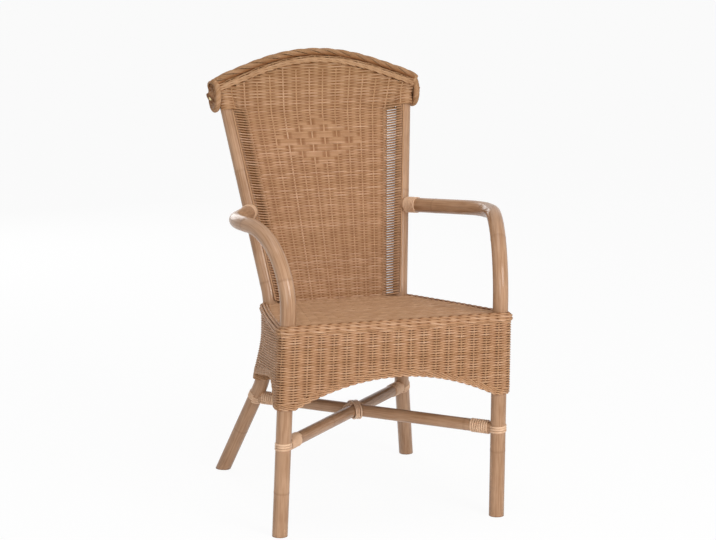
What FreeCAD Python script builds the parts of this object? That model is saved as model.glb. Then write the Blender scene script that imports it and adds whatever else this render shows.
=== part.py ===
import FreeCAD, Part
import math
import os

import Sketcher

Vector = FreeCAD.Vector
Rotation = FreeCAD.Rotation
Placement = FreeCAD.Placement
RIGHT = Vector(1, 0, 0)
BACKWARD = Vector(0, 1, 0)
UP = Vector(0, 0, 1)
SKETCH_ORIGIN = (-1, 1)

# Driving sizes of the rattan armchair: millimetres, and degrees for names that end in angle.
# Setbacks run from the front leg's axis at the seat, or from the rear post's where they say so.
SIZES = {
    # Pole frame, measured on the axes of the poles
    "seat_height": 454,
    "seat_drop": 34.6,
    "seat_depth": 408,
    "front_foot_half_span": 244,
    "front_seat_half_span": 234,
    "front_foot_setback": 29,
    "rear_seat_half_span": 152,
    "rear_knee_half_span": 166,
    "rear_knee_height": 235,
    "rear_knee_past_post": 27,
    "rear_foot_half_span": 226,
    "rear_foot_past_post": 158,
    "knee_bend_radius": 120,
    "seat_bend_radius": 140,
    "back_lean_angle": 19.9,
    "back_height": 473,
    "post_top_half_span": 216,
    # Arms
    "arm_front_height": 645,
    "arm_bow_height": 642,
    "arm_end_height": 617,
    "arm_bow_half_span": 291,
    "arm_bow_setback": 215,
    "arm_bend_radius": 160,
    "arm_bow_radius": 200,
    # Pole diameters
    "leg_diameter": 33,
    "post_diameter": 33,
    "stretcher_diameter": 27,
    "seat_rail_diameter": 22,
    "cross_rail_diameter": 20,
    "crest_rail_diameter": 28,
    # Stretchers
    "stretcher_front_height": 198,
    "stretcher_rear_height": 194,
    # Crest
    "crest_half_width": 248,
    "crest_rise": 71,
    "scroll_diameter": 70,
    "scroll_half_width": 232,
    "scroll_setback": 3,
    "scroll_sweep_angle": 238,
    "crest_braid_width": 20,
    "crest_braid_thickness": 8,
    "crest_braid_angle": 72,
    "scroll_braid_width": 11,
    "scroll_braid_thickness": 6,
    "crest_hoop_diameter": 62,
    "crest_hoop_thickness": 13,
    # Woven panels
    "panel_thickness": 7,
    "panel_setback": 10,
    "panel_foot_half_width": 117,
    "panel_neck_half_width": 167,
    "headband_drop": 32,
    "headband_half_width": 224,
    "headband_wrap_thickness": 4,
    "stake_diameter": 12,
    "stake_bend_radius": 30,
    "seat_thickness": 9,
    "seat_edge_radius": 4,
    "seat_stake_diameter": 14,
    "skirt_thickness": 6,
    "skirt_side_bow": 4,
    "skirt_front_corner_height": 279,
    "skirt_rear_corner_height": 256,
    "front_arch_height": 335,
    "side_arch_height": 326,
    "rear_arch_height": 322,
    "leg_braid_thickness": 5,
    "leg_braid_height": 15,
    # Lacing between the back panel and the posts
    "lacing_diameter": 3.5,
    "lacing_spacing": 7.3,
    "lacing_wrap_angle": 62,
    "lacing_rod_diameter": 3,
    "lacing_rod_angle": 76,
    # Peel bindings at the joints
    "binding_diameter": 3,
    "binding_pitch": 4.6,
    "crossing_binding_lift": 1,
    "crossing_binding_gap": 0.8,
    # Screws that draw the poles together
    "screw_diameter": 4,
    "screw_length": 62,
    "screw_head_diameter": 8,
    "screw_head_length": 3,
    "screw_head_sink": 1,
    "screw_stagger": 7,
    # Nails in the ends of the crest rail
    "nail_diameter": 3,
    "nail_length": 28,
    "nail_head_diameter": 9,
    "nail_head_height": 2,
    # Fits
    "joint_clearance": 0.2,
    "skirt_clearance": 0.4,
    "overrun": 40,
}

STRETCHER_TURNS = 8
LEG_TURNS = 3
ARM_TURNS = 7
CROSSING_TURNS = 3
PANEL_STAKES = 12
SEAT_STAKES = 17
HEADBAND_STEPS = 4
# Where the cross rail stands between the front and the rear seat rail.
CROSS_RAIL_SHARE = 0.52

doc = FreeCAD.newDocument("armchair")
sheet = doc.addObject("Spreadsheet::Sheet", "sizes")
for row, (alias, value) in enumerate(SIZES.items(), start=1):
    sheet.set(f"A{row}", alias.replace("_", " "))
    sheet.set(f"B{row}", str(value))
    sheet.setAlias(f"B{row}", alias)
doc.recompute()

nodes = {}


def size(alias):
    return float(sheet.get(alias))


def keep(obj, label):
    """Take a document object as the sub-part of that name."""
    obj.Label = label
    nodes[label] = obj
    return obj


def feature(name, shape):
    """A document object for a shape that no parametric feature makes."""
    obj = doc.addObject("Part::Feature", name)
    obj.Shape = shape
    return obj


def mirrored(point, side):
    return Vector(side * point.x, point.y, point.z)


def along(start, end, height):
    """The point at a height on the line through two points."""
    return start + (end - start) * ((height - start.z) / (end.z - start.z))


# Places that several pieces share. The origin is on the floor, under the middle of the chair.
lean = math.radians(size("back_lean_angle"))
leg_radius = size("leg_diameter") / 2
post_radius = size("post_diameter") / 2
skirt_inset = leg_radius + size("skirt_clearance")
skirt_reach = skirt_inset + size("skirt_thickness")
scroll_radius = size("scroll_diameter") / 2
neck_height = size("back_height") - size("headband_drop")
crest_apex = size("back_height") + size("crest_rise")
crest_radius = (size("crest_half_width") ** 2 + size("crest_rise") ** 2) / (2 * size("crest_rise"))
rear_reach = (
    size("seat_depth")
    + crest_apex * math.sin(lean)
    + size("scroll_setback") * math.cos(lean)
    + scroll_radius
)
front_y = (skirt_reach - rear_reach) / 2
post_y = front_y + size("seat_depth")
seat_slope = size("seat_drop") / size("seat_depth")
rear_seat_height = size("seat_height") - size("seat_drop")
panel_rear = -size("panel_setback") - size("panel_thickness") / 2
back_turn = Rotation(RIGHT, 90 - size("back_lean_angle"))
back_foot = Vector(0, post_y, rear_seat_height)

front_foot = Vector(size("front_foot_half_span"), front_y + size("front_foot_setback"), 0)
front_seat = Vector(size("front_seat_half_span"), front_y, size("seat_height"))
arm_corner = along(front_foot, front_seat, size("arm_front_height"))
arm_bow = Vector(size("arm_bow_half_span"), front_y + size("arm_bow_setback"), size("arm_bow_height"))
rear_foot = Vector(size("rear_foot_half_span"), post_y + size("rear_foot_past_post"), 0)
rear_knee = Vector(
    size("rear_knee_half_span"), post_y + size("rear_knee_past_post"), size("rear_knee_height")
)
rear_seat = Vector(size("rear_seat_half_span"), post_y, rear_seat_height)


def back_point(across, up, forward):
    """A point given in the leaning plane of the post axes."""
    return back_foot + back_turn.multVec(Vector(across, up, forward))


def crest_height(across):
    """Height of the crest arc in the back's plane."""
    return crest_apex - crest_radius + math.sqrt(crest_radius**2 - across**2)


post_top = back_point(size("post_top_half_span"), crest_height(size("post_top_half_span")), 0)
arm_end = along(rear_seat, post_top, size("arm_end_height"))


def bent_wire(points, radii):
    """Straight runs joined by tangent arcs at the inner points."""
    edges = []
    start = points[0]
    for before, corner, after, radius in zip(points, points[1:], points[2:], radii):
        toward = (before - corner).normalize()
        away = (after - corner).normalize()
        half_turn = (math.pi - toward.getAngle(away)) / 2
        reach = radius * math.tan(half_turn)
        inward = (toward + away).normalize()
        first = corner + toward * reach
        middle = corner + inward * (radius / math.cos(half_turn) - radius)
        last = corner + away * reach
        edges.append(Part.LineSegment(start, first).toShape())
        edges.append(Part.Arc(first, middle, last).toShape())
        start = last
    edges.append(Part.LineSegment(start, points[-1]).toShape())
    return Part.Wire(edges)


def bent_pole(points, radii, diameter):
    """A round pole steamed and bent along a path."""
    path = bent_wire(points, radii)
    ring = Part.Wire(Part.Circle(points[0], points[1] - points[0], diameter / 2).toShape())
    return path.makePipeShell([ring], True, False)


def rod(start, end, diameter):
    """A plain round solid between two points."""
    return Part.makeCylinder(diameter / 2, (end - start).Length, start, end - start)


def floor_block():
    """All that lies under the floor, to cut the feet flat."""
    width = 2 * rear_reach
    return Part.makeBox(2 * width, 2 * width, width, Vector(-width, -width, -width))


def beyond(start, end, extra):
    """A point past the end of a run."""
    return end + (end - start).normalize() * extra


def leg_arm_shape(side, trim=0):
    """Front leg and arm rest, one continuous bent pole."""
    points = [beyond(front_seat, front_foot, size("overrun")), arm_corner, arm_bow, arm_end]
    points = [mirrored(point, side) for point in points]
    radii = [size("arm_bend_radius"), size("arm_bow_radius")]
    return bent_pole(points, radii, size("leg_diameter") + trim)


def leg_post_shape(side, trim=0):
    """Rear leg and back post, one continuous bent pole."""
    points = [beyond(rear_knee, rear_foot, size("overrun")), rear_knee, rear_seat, post_top]
    points = [mirrored(point, side) for point in points]
    radii = [size("knee_bend_radius"), size("seat_bend_radius")]
    return bent_pole(points, radii, size("post_diameter") + trim)


def stretcher_ends(side):
    """Where a diagonal stretcher meets the axes of its front leg and of the rear leg across."""
    front = along(front_foot, front_seat, size("stretcher_front_height"))
    rear = along(rear_foot, rear_knee, size("stretcher_rear_height"))
    return mirrored(front, side), mirrored(rear, -side)


def rail_height(setback):
    """Axis height of a seat rail under the sloping seat."""
    drop = size("seat_thickness") + 2 * size("joint_clearance") + size("seat_rail_diameter") / 2
    return size("seat_height") - seat_slope * setback - drop / math.cos(math.atan(seat_slope))


def rail_corner(front, side):
    """Where the seat rails' axes meet a corner pole's axis."""
    if front:
        return mirrored(along(front_foot, front_seat, rail_height(0)), side)
    return mirrored(along(rear_knee, rear_seat, rail_height(size("seat_depth"))), side)


def axis_cylinder(name, start, end, diameter):
    """A Part cylinder between two points whose radius follows the sheet."""
    obj = doc.addObject("Part::Cylinder", name)
    obj.setExpression("Radius", f"sizes.{diameter} / 2")
    obj.Height = (end - start).Length
    obj.Placement = Placement(start, Rotation(UP, end - start))
    return obj


def cut_by(name, base, tools):
    """A Part cut of one object by several shapes."""
    tool = feature(name + "_tools", Part.makeCompound(tools))
    obj = doc.addObject("Part::Cut", name)
    obj.Base = base
    obj.Tool = tool
    return obj


def screw_shape(joint, inside, radius, grow=0):
    """A screw from the far side of a pole, head sunk, into the end of the pole that meets it."""
    inward = (inside - joint).normalize()
    seat = joint - inward * (radius - size("screw_head_sink"))
    shank = Part.makeCylinder(size("screw_diameter") / 2 + grow, size("screw_length") + grow, seat, inward)
    head_length = size("screw_head_length") + grow
    head = Part.makeCylinder(size("screw_head_diameter") / 2 + grow, head_length, seat, inward)
    return shank.fuse(head).removeSplitter()


def joint_screws(grow=0):
    """One screw at each joint between a pole and the end of another."""
    stagger = Vector(0, 0, -size("screw_stagger"))
    runs = []
    for side in (-1, 1):
        front, rear = stretcher_ends(side)
        runs += [(front, rear, leg_radius), (rear, front, post_radius)]
        front, rear = rail_corner(True, side), rail_corner(False, side)
        runs.append((front, rail_corner(True, -side), leg_radius))
        runs.append((rear, rail_corner(False, -side), post_radius))
        runs.append((front + stagger, rear + stagger, leg_radius))
        runs.append((rear + stagger, front + stagger, post_radius))
        runs.append((mirrored(arm_end, side), mirrored(arm_bow, side), post_radius))
        crest = crest_joint(side)
        runs.append((crest, crest + mirrored(rear_seat - post_top, side), size("crest_rail_diameter") / 2))
    return [screw_shape(joint, inside, radius, grow) for joint, inside, radius in runs]


def crest_joint(side):
    """Axis of the crest rail over a post."""
    across = size("post_top_half_span")
    return back_point(side * across, crest_height(across), -size("scroll_setback"))


def build_frame():
    """Bent poles, rails and stretchers, each end coped to the pole that it meets."""
    clear = 2 * size("joint_clearance")
    keep(feature("screws", Part.makeCompound(joint_screws())), "frame_screws")
    screws = joint_screws(size("joint_clearance"))
    rail_arc = crest_rail_tool(clear)
    thick_legs = {side: leg_arm_shape(side, clear) for side in (-1, 1)}
    thick_posts = {side: leg_post_shape(side, clear) for side in (-1, 1)}
    for side, word in ((-1, "left"), (1, "right")):
        arm = leg_arm_shape(side).cut(Part.makeCompound([floor_block(), thick_posts[side]] + screws))
        keep(feature("arm_" + word, main_solid(arm)), f"front_leg_arm_{word}")
        post = leg_post_shape(side).cut(Part.makeCompound([floor_block(), rail_arc] + screws))
        keep(feature("post_" + word, main_solid(post)), f"rear_leg_post_{word}")
    poles = list(thick_legs.values()) + list(thick_posts.values())
    front = axis_cylinder("front_rail", rail_corner(True, -1), rail_corner(True, 1), "seat_rail_diameter")
    rear = axis_cylinder("rear_rail", rail_corner(False, -1), rail_corner(False, 1), "seat_rail_diameter")
    doc.recompute()
    keep(cut_by("front_rail_cut", front, poles + screws), "seat_rail_front")
    keep(cut_by("rear_rail_cut", rear, poles + screws), "seat_rail_rear")
    thick_rails = [
        rod(rail_corner(True, -1), rail_corner(True, 1), size("seat_rail_diameter") + clear),
        rod(rail_corner(False, -1), rail_corner(False, 1), size("seat_rail_diameter") + clear),
    ]
    side_rails = []
    middles = []
    for side, word in ((-1, "left"), (1, "right")):
        start, end = rail_corner(True, side), rail_corner(False, side)
        rail = axis_cylinder(f"side_rail_{word}", start, end, "seat_rail_diameter")
        keep(cut_by(f"side_rail_cut_{word}", rail, poles + thick_rails + screws), f"seat_rail_{word}")
        side_rails.append(rod(start, end, size("seat_rail_diameter") + clear))
        middles.append(start + (end - start) * CROSS_RAIL_SHARE)
    cross = axis_cylinder("cross_rail", middles[0], middles[1], "cross_rail_diameter")
    keep(cut_by("cross_rail_cut", cross, side_rails), "seat_cross_rail")
    build_stretchers(poles, screws, clear)


def main_solid(shape):
    """The pole itself, without the slivers that a cope leaves past the joint."""
    return max(shape.Solids, key=lambda solid: solid.Volume)


def build_stretchers(poles, screws, clear):
    """Two diagonal stretchers, halved into each other where they cross."""
    ends = {side: stretcher_ends(side) for side in (-1, 1)}
    thick = {side: rod(*ends[side], size("stretcher_diameter") + clear) for side in (-1, 1)}
    width = 2 * size("stretcher_diameter")
    corner = crossing_point() - Vector(width, width, 0)
    upper = Part.makeBox(2 * width, 2 * width, width, corner)
    lower = Part.makeBox(2 * width, 2 * width, width, corner - Vector(0, 0, width))
    halves = {-1: thick[1].common(upper), 1: thick[-1].common(lower)}
    for side, label in ((-1, "stretcher_left_to_right"), (1, "stretcher_right_to_left")):
        pole = axis_cylinder(label + "_pole", *ends[side], "stretcher_diameter")
        keep(cut_by(label + "_cut", pole, poles + [halves[side]] + screws), label)


def crossing_point():
    """Where the two stretchers' axes cross, in the middle of the chair."""
    front, rear = stretcher_ends(1)
    share = front.x / (front.x - rear.x)
    return front + (rear - front) * share


def crest_rail_tool(extra):
    """The crest rail as a ring, to cope the tops of the posts."""
    centre = back_point(0, crest_apex - crest_radius, -size("scroll_setback"))
    radius = (size("crest_rail_diameter") + extra) / 2
    return Part.makeTorus(crest_radius, radius, centre, back_turn.multVec(UP))


def plane_of(body, role):
    return next(plane for plane in body.Origin.OriginFeatures if plane.Role == role)


def new_sketch(body, name, role):
    sketch = body.newObject("Sketcher::SketchObject", name)
    sketch.AttachmentSupport = [(plane_of(body, role), "")]
    sketch.MapMode = "FlatFace"
    return sketch


def back_body(name, up):
    """A body whose XY plane is the leaning plane of the post axes."""
    body = doc.addObject("PartDesign::Body", name)
    body.Placement = Placement(back_point(0, up, 0), back_turn)
    return body


def hold(sketch, kind, first, last, value, text):
    """Hold the distance between two sketch points at a size from the sheet."""
    index = sketch.addConstraint(Sketcher.Constraint(kind, *first, *last, value))
    sketch.setExpression(f"Constraints[{index}]", text)


def build_back_panel():
    """Woven back on a fan of stakes, with a band at its top that leans forward to the roll."""
    body = back_body("back_panel_body", 0)
    sketch = new_sketch(body, "back_outline", "XY_Plane")
    half_foot, half_neck = size("panel_foot_half_width"), size("panel_neck_half_width")
    outline = [(half_foot, 0), (half_neck, neck_height), (-half_neck, neck_height), (-half_foot, 0)]
    points = [Vector(x, y, 0) for x, y in outline]
    edges = [Part.LineSegment(first, last) for first, last in zip(points, points[1:] + points[:1])]
    sketch.addGeometry(edges, False)
    for index in range(len(points)):
        sketch.addConstraint(Sketcher.Constraint("Coincident", index, 2, (index + 1) % len(points), 1))
    for index, name in enumerate(("panel_foot_half_width", "panel_neck_half_width")):
        opposite = len(points) - 1 - index
        hold(sketch, "DistanceX", SKETCH_ORIGIN, (index, 1), size(name), f"sizes.{name}")
        hold(sketch, "DistanceX", (opposite, 1), SKETCH_ORIGIN, size(name), f"sizes.{name}")
    for foot, neck in ((0, 1), (3, 2)):
        sketch.addConstraint(Sketcher.Constraint("PointOnObject", foot, 1, SKETCH_ORIGIN[0]))
        text = "sizes.back_height - sizes.headband_drop"
        hold(sketch, "DistanceY", SKETCH_ORIGIN, (neck, 1), neck_height, text)
    sketch.AttachmentOffset = Placement(Vector(0, 0, panel_rear), Rotation())
    pad = body.newObject("PartDesign::Pad", "back_pad")
    pad.Profile = sketch
    pad.setExpression("Length", "sizes.panel_thickness")
    weave = doc.addObject("Part::MultiFuse", "back_weave")
    sleeves = [post_sleeve(side) for side in (-1, 1)]
    shapes = [headband_shape()] + sleeves + stake_shapes()
    weave.Shapes = [body] + [feature(f"back_weave_{index}", shape) for index, shape in enumerate(shapes)]
    doc.recompute()
    clear = size("joint_clearance")
    around = [leg_post_shape(side, 2 * clear) for side in (-1, 1)] + [under_plane(-clear)]
    keep(cut_by("back_panel_cut", weave, around), "back_panel")


def headband_shape():
    """The band at the top of the back, from the neck forward to the front edge of the roll."""
    thick = size("panel_thickness")
    roll_front = scroll_radius - size("scroll_setback")
    wires = []
    for step in range(-HEADBAND_STEPS, HEADBAND_STEPS + 1):
        across = size("headband_half_width") * step / HEADBAND_STEPS
        top = crest_height(across) - size("joint_clearance")
        corners = [
            back_point(across, neck_height, panel_rear),
            back_point(across, neck_height, panel_rear + thick),
            back_point(across, top, roll_front),
            back_point(across, top, roll_front - thick),
        ]
        wires.append(Part.makePolygon(corners + corners[:1]))
    return Part.makeLoft(wires, True)


def post_across(up):
    """Distance of a straight post's axis from the middle of the back."""
    top = size("post_top_half_span")
    return size("rear_seat_half_span") + (top - size("rear_seat_half_span")) * up / crest_height(top)


def post_sleeve(side):
    """Weave of the band round the front and the inside of one post, under the roll."""
    heights = (neck_height, crest_height(size("post_top_half_span")) - scroll_radius)
    low, high = (back_point(side * post_across(up), up, 0) for up in heights)
    thickness = size("joint_clearance") + size("headband_wrap_thickness")
    sleeve = rod(low, high, size("post_diameter") + 2 * thickness)
    return sleeve.common(crest_slice(size("headband_half_width")))


def stake_shapes():
    """Stakes inside the weave, which fan out from the seat and bend forward into the band."""
    stakes = []
    middle = -size("panel_setback")
    front = scroll_radius - size("scroll_setback") - size("panel_thickness") / 2
    for index in range(PANEL_STAKES):
        share = 2 * index / (PANEL_STAKES - 1) - 1
        across = share * size("panel_neck_half_width")
        foot = back_point(share * size("panel_foot_half_width"), 0, middle)
        neck = back_point(across, neck_height, middle)
        crest = back_point(across, crest_height(across), front)
        low, high = beyond(neck, foot, size("overrun")), beyond(neck, crest, -size("stake_diameter"))
        stakes.append(bent_pole([low, neck, high], [size("stake_bend_radius")], size("stake_diameter")))
    return stakes


def crest_body(name):
    return back_body(name, crest_apex - crest_radius)


def crest_sweep():
    return 2 * math.degrees(math.asin(size("crest_half_width") / crest_radius))


def revolve_crest(body, sketch, name):
    turn = body.newObject("PartDesign::Revolution", name)
    turn.Profile = sketch
    turn.ReferenceAxis = (sketch, ["V_Axis"])
    turn.Midplane = True
    turn.Angle = crest_sweep()
    return turn


def build_crest_rail():
    """Arched pole on top of the posts, inside the roll."""
    body = crest_body("crest_rail_body")
    sketch = new_sketch(body, "crest_rail_section", "YZ_Plane")
    centre = Vector(crest_radius, -size("scroll_setback"), 0)
    sketch.addGeometry(Part.Circle(centre, UP, size("crest_rail_diameter") / 2), False)
    index = sketch.addConstraint(Sketcher.Constraint("Diameter", 0, size("crest_rail_diameter")))
    sketch.setExpression(f"Constraints[{index}]", "sizes.crest_rail_diameter")
    arc = "(sizes.crest_half_width ^ 2 + sizes.crest_rise ^ 2) / (2 * sizes.crest_rise)"
    hold(sketch, "DistanceX", SKETCH_ORIGIN, (0, 3), crest_radius, arc)
    hold(sketch, "DistanceY", (0, 3), SKETCH_ORIGIN, size("scroll_setback"), "sizes.scroll_setback")
    revolve_crest(body, sketch, "crest_rail_turn")
    holes = joint_screws(size("joint_clearance"))
    nails = [crest_nail(side) for side in (-1, 1)]
    holes += [crest_nail(side, size("joint_clearance")) for side in (-1, 1)]
    keep(cut_by("crest_rail_cut", body, holes), "crest_rail")
    keep(feature("nails", Part.makeCompound(nails)), "crest_nails")


def crest_nail(side, grow=0):
    """A round-headed nail driven along the axis into one end of the crest rail."""
    across = size("crest_half_width")
    end = back_point(side * across, crest_height(across), -size("scroll_setback"))
    slope = across / crest_radius
    outward = back_turn.multVec(Vector(side * math.sqrt(1 - slope**2), -slope, 0))
    radius, length = size("nail_diameter") / 2 + grow, size("nail_length") + grow
    if grow:
        return Part.makeCylinder(radius, length, end, outward * -1)
    head, height = size("nail_head_diameter") / 2, size("nail_head_height")
    ball = (head**2 + height**2) / (2 * height)
    half = math.asin(head / ball) / 2
    crown = Vector(ball * math.sin(half), 0, height - ball + ball * math.cos(half))
    tip, top = Vector(0, 0, -length), Vector(0, 0, height)
    corners = [top, tip, tip + RIGHT * radius, RIGHT * radius, RIGHT * head]
    edges = [Part.LineSegment(first, last).toShape() for first, last in zip(corners, corners[1:])]
    edges.append(Part.Arc(RIGHT * head, crown, top).toShape())
    nail = Part.Face(Part.Wire(edges)).revolve(Vector(), UP, 360)
    nail.Placement = Placement(end, Rotation(UP, outward))
    return nail


def crest_slice(half):
    """The upright slab within a distance from the middle of the chair."""
    reach = rear_reach
    return Part.makeBox(2 * half, 2 * reach, 2 * reach, Vector(-half, -reach, 0))


def build_scroll():
    """Woven roll that curls from the panel's top edge back over the crest rail."""
    body = crest_body("crest_scroll_body")
    sketch = new_sketch(body, "scroll_section", "YZ_Plane")
    outer = scroll_radius
    inner = scroll_radius - size("panel_thickness")
    sweep = math.radians(size("scroll_sweep_angle"))

    def at(radius, angle):
        forward = radius * math.cos(angle) - size("scroll_setback")
        return Vector(crest_radius + radius * math.sin(angle), forward, 0)

    edges = [
        Part.Arc(at(outer, 0), at(outer, sweep / 2), at(outer, sweep)),
        Part.LineSegment(at(outer, sweep), at(inner, sweep)),
        Part.Arc(at(inner, sweep), at(inner, sweep / 2), at(inner, 0)),
        Part.LineSegment(at(inner, 0), at(outer, 0)),
    ]
    sketch.addGeometry(edges, False)
    revolve_crest(body, sketch, "scroll_turn")
    keep(trim_to_roll(body, "crest_scroll"), "crest_scroll")


def trim_to_roll(body, label):
    """Cut a piece of the crest off upright at both ends of the roll."""
    common = doc.addObject("Part::Common", label + "_trimmed")
    common.Base = body
    common.Tool = feature(label + "_slice", crest_slice(size("scroll_half_width")))
    return common


def build_crest_braid(label, angle, width, thickness):
    """Plaited border that lies on the outside of the roll."""
    body = crest_body(label + "_body")
    sketch = new_sketch(body, label + "_section", "YZ_Plane")
    turn = math.radians(angle)
    reach = scroll_radius + size("joint_clearance") + thickness / 2
    out = Vector(math.sin(turn), math.cos(turn), 0)
    across = Vector(math.cos(turn), -math.sin(turn), 0)
    centre = Vector(crest_radius, -size("scroll_setback"), 0) + out * reach
    ellipse = Part.Ellipse(centre + across * (width / 2), centre + out * (thickness / 2), centre)
    sketch.addGeometry(ellipse, False)
    revolve_crest(body, sketch, label + "_turn")
    return trim_to_roll(body, label)


def crest_hoop(side):
    """Plaited hoop round one end of the roll."""
    radius = size("crest_hoop_thickness") / 2
    across = size("scroll_half_width") + size("joint_clearance") + radius
    centre = back_point(side * across, crest_height(across), -size("scroll_setback"))
    return Part.makeTorus(size("crest_hoop_diameter") / 2, radius, centre, RIGHT)


def build_back():
    build_back_panel()
    build_crest_rail()
    build_scroll()
    top = build_crest_braid(
        "crest_braid", size("crest_braid_angle"), size("crest_braid_width"), size("crest_braid_thickness")
    )
    doc.recompute()
    plaits = top.Shape.Solids + [crest_hoop(side) for side in (-1, 1)]
    keep(feature("crest_plaits", Part.makeCompound(plaits)), "crest_braid")
    edge_angle = size("scroll_sweep_angle") - math.degrees(size("scroll_braid_width") / 2 / scroll_radius)
    edge = build_crest_braid(
        "scroll_braid", edge_angle, size("scroll_braid_width"), size("scroll_braid_thickness")
    )
    keep(edge, "scroll_braid")
    for side, word in ((-1, "left"), (1, "right")):
        build_lacing(side, word)


def build_lacing(side, word):
    """Strands from the panel's edge to the front of the post, and the thin rod at their ends."""
    clear = size("joint_clearance")
    spacing = size("lacing_spacing")
    radius = size("lacing_diameter") / 2
    rod_radius = size("lacing_rod_diameter") / 2
    lift = size("stake_diameter") / 2 - size("panel_setback") + 2 * clear + radius
    spread = (size("panel_neck_half_width") - size("panel_foot_half_width")) / neck_height

    def on_post(up, angle, reach):
        turn = math.radians(angle)
        return back_point(side * (post_across(up) - reach * math.cos(turn)), up, reach * math.sin(turn))

    bound_arm = leg_arm_shape(side, 2 * (2 * clear + size("binding_diameter")))
    around = Part.makeCompound([bound_arm, leg_post_shape(side, 2 * clear)])
    strands = []
    for index in range(1, int(neck_height / spacing)):
        up = spacing * index
        start = back_point(side * (size("panel_foot_half_width") + spread * up), up, lift)
        end = on_post(up, size("lacing_wrap_angle"), post_radius + 2 * clear + radius)
        strands.append(main_solid(rod(start, end, 2 * radius).cut(around)))
    low, high = (
        on_post(up, size("lacing_rod_angle"), post_radius + clear + rod_radius)
        for up in (spacing, neck_height - spacing)
    )
    strands += rod(low, high, 2 * rod_radius).cut(around).Solids
    keep(feature(f"lacing_{word}_strands", Part.makeCompound(strands)), f"back_lacing_{word}")


def ring_wire(corners, bows, reach):
    """Outline at a distance round four pole axes, with round corners and bowed sides."""
    runs = []
    for index, start in enumerate(corners):
        end = corners[(index + 1) % len(corners)]
        chord = end - start
        outward = Vector(chord.y, -chord.x, 0).normalize()
        bow = bows[index]
        if bow == 0:
            runs.append((start + outward * reach, None, end + outward * reach, outward, outward))
            continue
        radius = (chord.Length**2 / 4 + bow**2) / (2 * bow)
        centre = start + chord * 0.5 + outward * (bow - radius)
        leaving = (start - centre).normalize()
        arriving = (end - centre).normalize()
        crown = centre + outward * (radius + reach)
        runs.append((start + leaving * reach, crown, end + arriving * reach, leaving, arriving))
    edges = []
    for index, (first, crown, last, _, arriving) in enumerate(runs):
        following = runs[(index + 1) % len(runs)]
        corner = corners[(index + 1) % len(corners)]
        if crown is None:
            edges.append(Part.LineSegment(first, last).toShape())
        else:
            edges.append(Part.Arc(first, crown, last).toShape())
        outermost = corner + (arriving + following[3]).normalize() * reach
        edges.append(Part.Arc(last, outermost, following[0]).toShape())
    return Part.Wire(edges)


def corner_axes(height):
    """The four pole axes at one height, in order round the seat."""
    front = along(front_foot, front_seat, height)
    rear = along(rear_knee, rear_seat, height)
    return [mirrored(front, -1), mirrored(front, 1), mirrored(rear, 1), mirrored(rear, -1)]


def side_bows():
    bow = size("skirt_side_bow")
    return [0, bow, 0, bow]


def under_plane(drop):
    """Everything under the seat's plane, lowered square to it."""
    reach = rear_reach
    block = Part.makeBox(2 * reach, 4 * reach, 2 * reach, Vector(-reach, -2 * reach, -2 * reach - drop))
    tilt = Rotation(RIGHT, -math.degrees(math.atan(seat_slope)))
    block.Placement = Placement(Vector(0, front_y, size("seat_height")), tilt)
    return block


def skirt_tube(reach):
    """A solid through the outline under the seat, along the slanting legs."""
    low = size("skirt_rear_corner_height") - size("overrun")
    high = size("seat_height") + size("overrun")
    wires = [ring_wire(corner_axes(height), side_bows(), reach) for height in (low, high)]
    return Part.makeLoft(wires, True, True)


def arch_prism(first, crown, last, level, direction):
    """What is cut away under an arched edge that runs on level round the poles at both ends."""
    drop = Vector(0, 0, -size("rear_knee_height"))
    start, end = first - level, last + level
    edges = [
        Part.LineSegment(start, first).toShape(),
        Part.Arc(first, crown, last).toShape(),
        Part.LineSegment(last, end).toShape(),
        Part.LineSegment(end, end + drop).toShape(),
        Part.LineSegment(end + drop, start + drop).toShape(),
        Part.LineSegment(start + drop, start).toShape(),
    ]
    return Part.Face(Part.Wire(edges)).extrude(direction)


def skirt_arches():
    """The arches under the front, the sides and the back of the skirt, from pole to pole."""
    front_low, rear_low = size("skirt_front_corner_height"), size("skirt_rear_corner_height")
    wide = size("arm_bow_half_span") * 2
    front_axis = along(front_foot, front_seat, front_low)
    rear_axis = along(rear_knee, rear_seat, rear_low)
    half_front = front_axis.x - leg_radius
    half_rear = rear_axis.x - post_radius
    middle = (front_axis.y + rear_axis.y) / 2
    depth = Vector(0, middle - front_axis.y, 0)
    sideways = RIGHT * (leg_radius + skirt_reach + size("overrun"))
    endways = BACKWARD * (leg_radius + skirt_reach + size("overrun"))
    start = Vector(0, front_axis.y - skirt_reach - size("overrun"), 0)
    front = arch_prism(
        start + Vector(-half_front, 0, front_low),
        start + Vector(0, 0, size("front_arch_height")),
        start + Vector(half_front, 0, front_low),
        sideways,
        depth,
    )
    back = Vector(0, rear_axis.y + skirt_reach + size("overrun"), 0)
    rear = arch_prism(
        back + Vector(-half_rear, 0, rear_low),
        back + Vector(0, 0, size("rear_arch_height")),
        back + Vector(half_rear, 0, rear_low),
        sideways,
        depth * -1,
    )
    sides = arch_prism(
        Vector(-wide, front_axis.y + leg_radius, front_low),
        Vector(-wide, middle, size("side_arch_height")),
        Vector(-wide, rear_axis.y - post_radius, rear_low),
        endways,
        Vector(2 * wide, 0, 0),
    )
    return front, sides, rear


def corner_wedge(first, last):
    """The upright wedge from the middle of the seat out past two corner poles."""
    middle = Vector(0, front_y + size("seat_depth") / 2, 0)
    far = 2 * rear_reach
    points = [middle, beyond(middle, first, far), beyond(middle, last, far), middle]
    return Part.Face(Part.makePolygon(points)).extrude(Vector(0, 0, size("seat_height") + size("overrun")))


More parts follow.
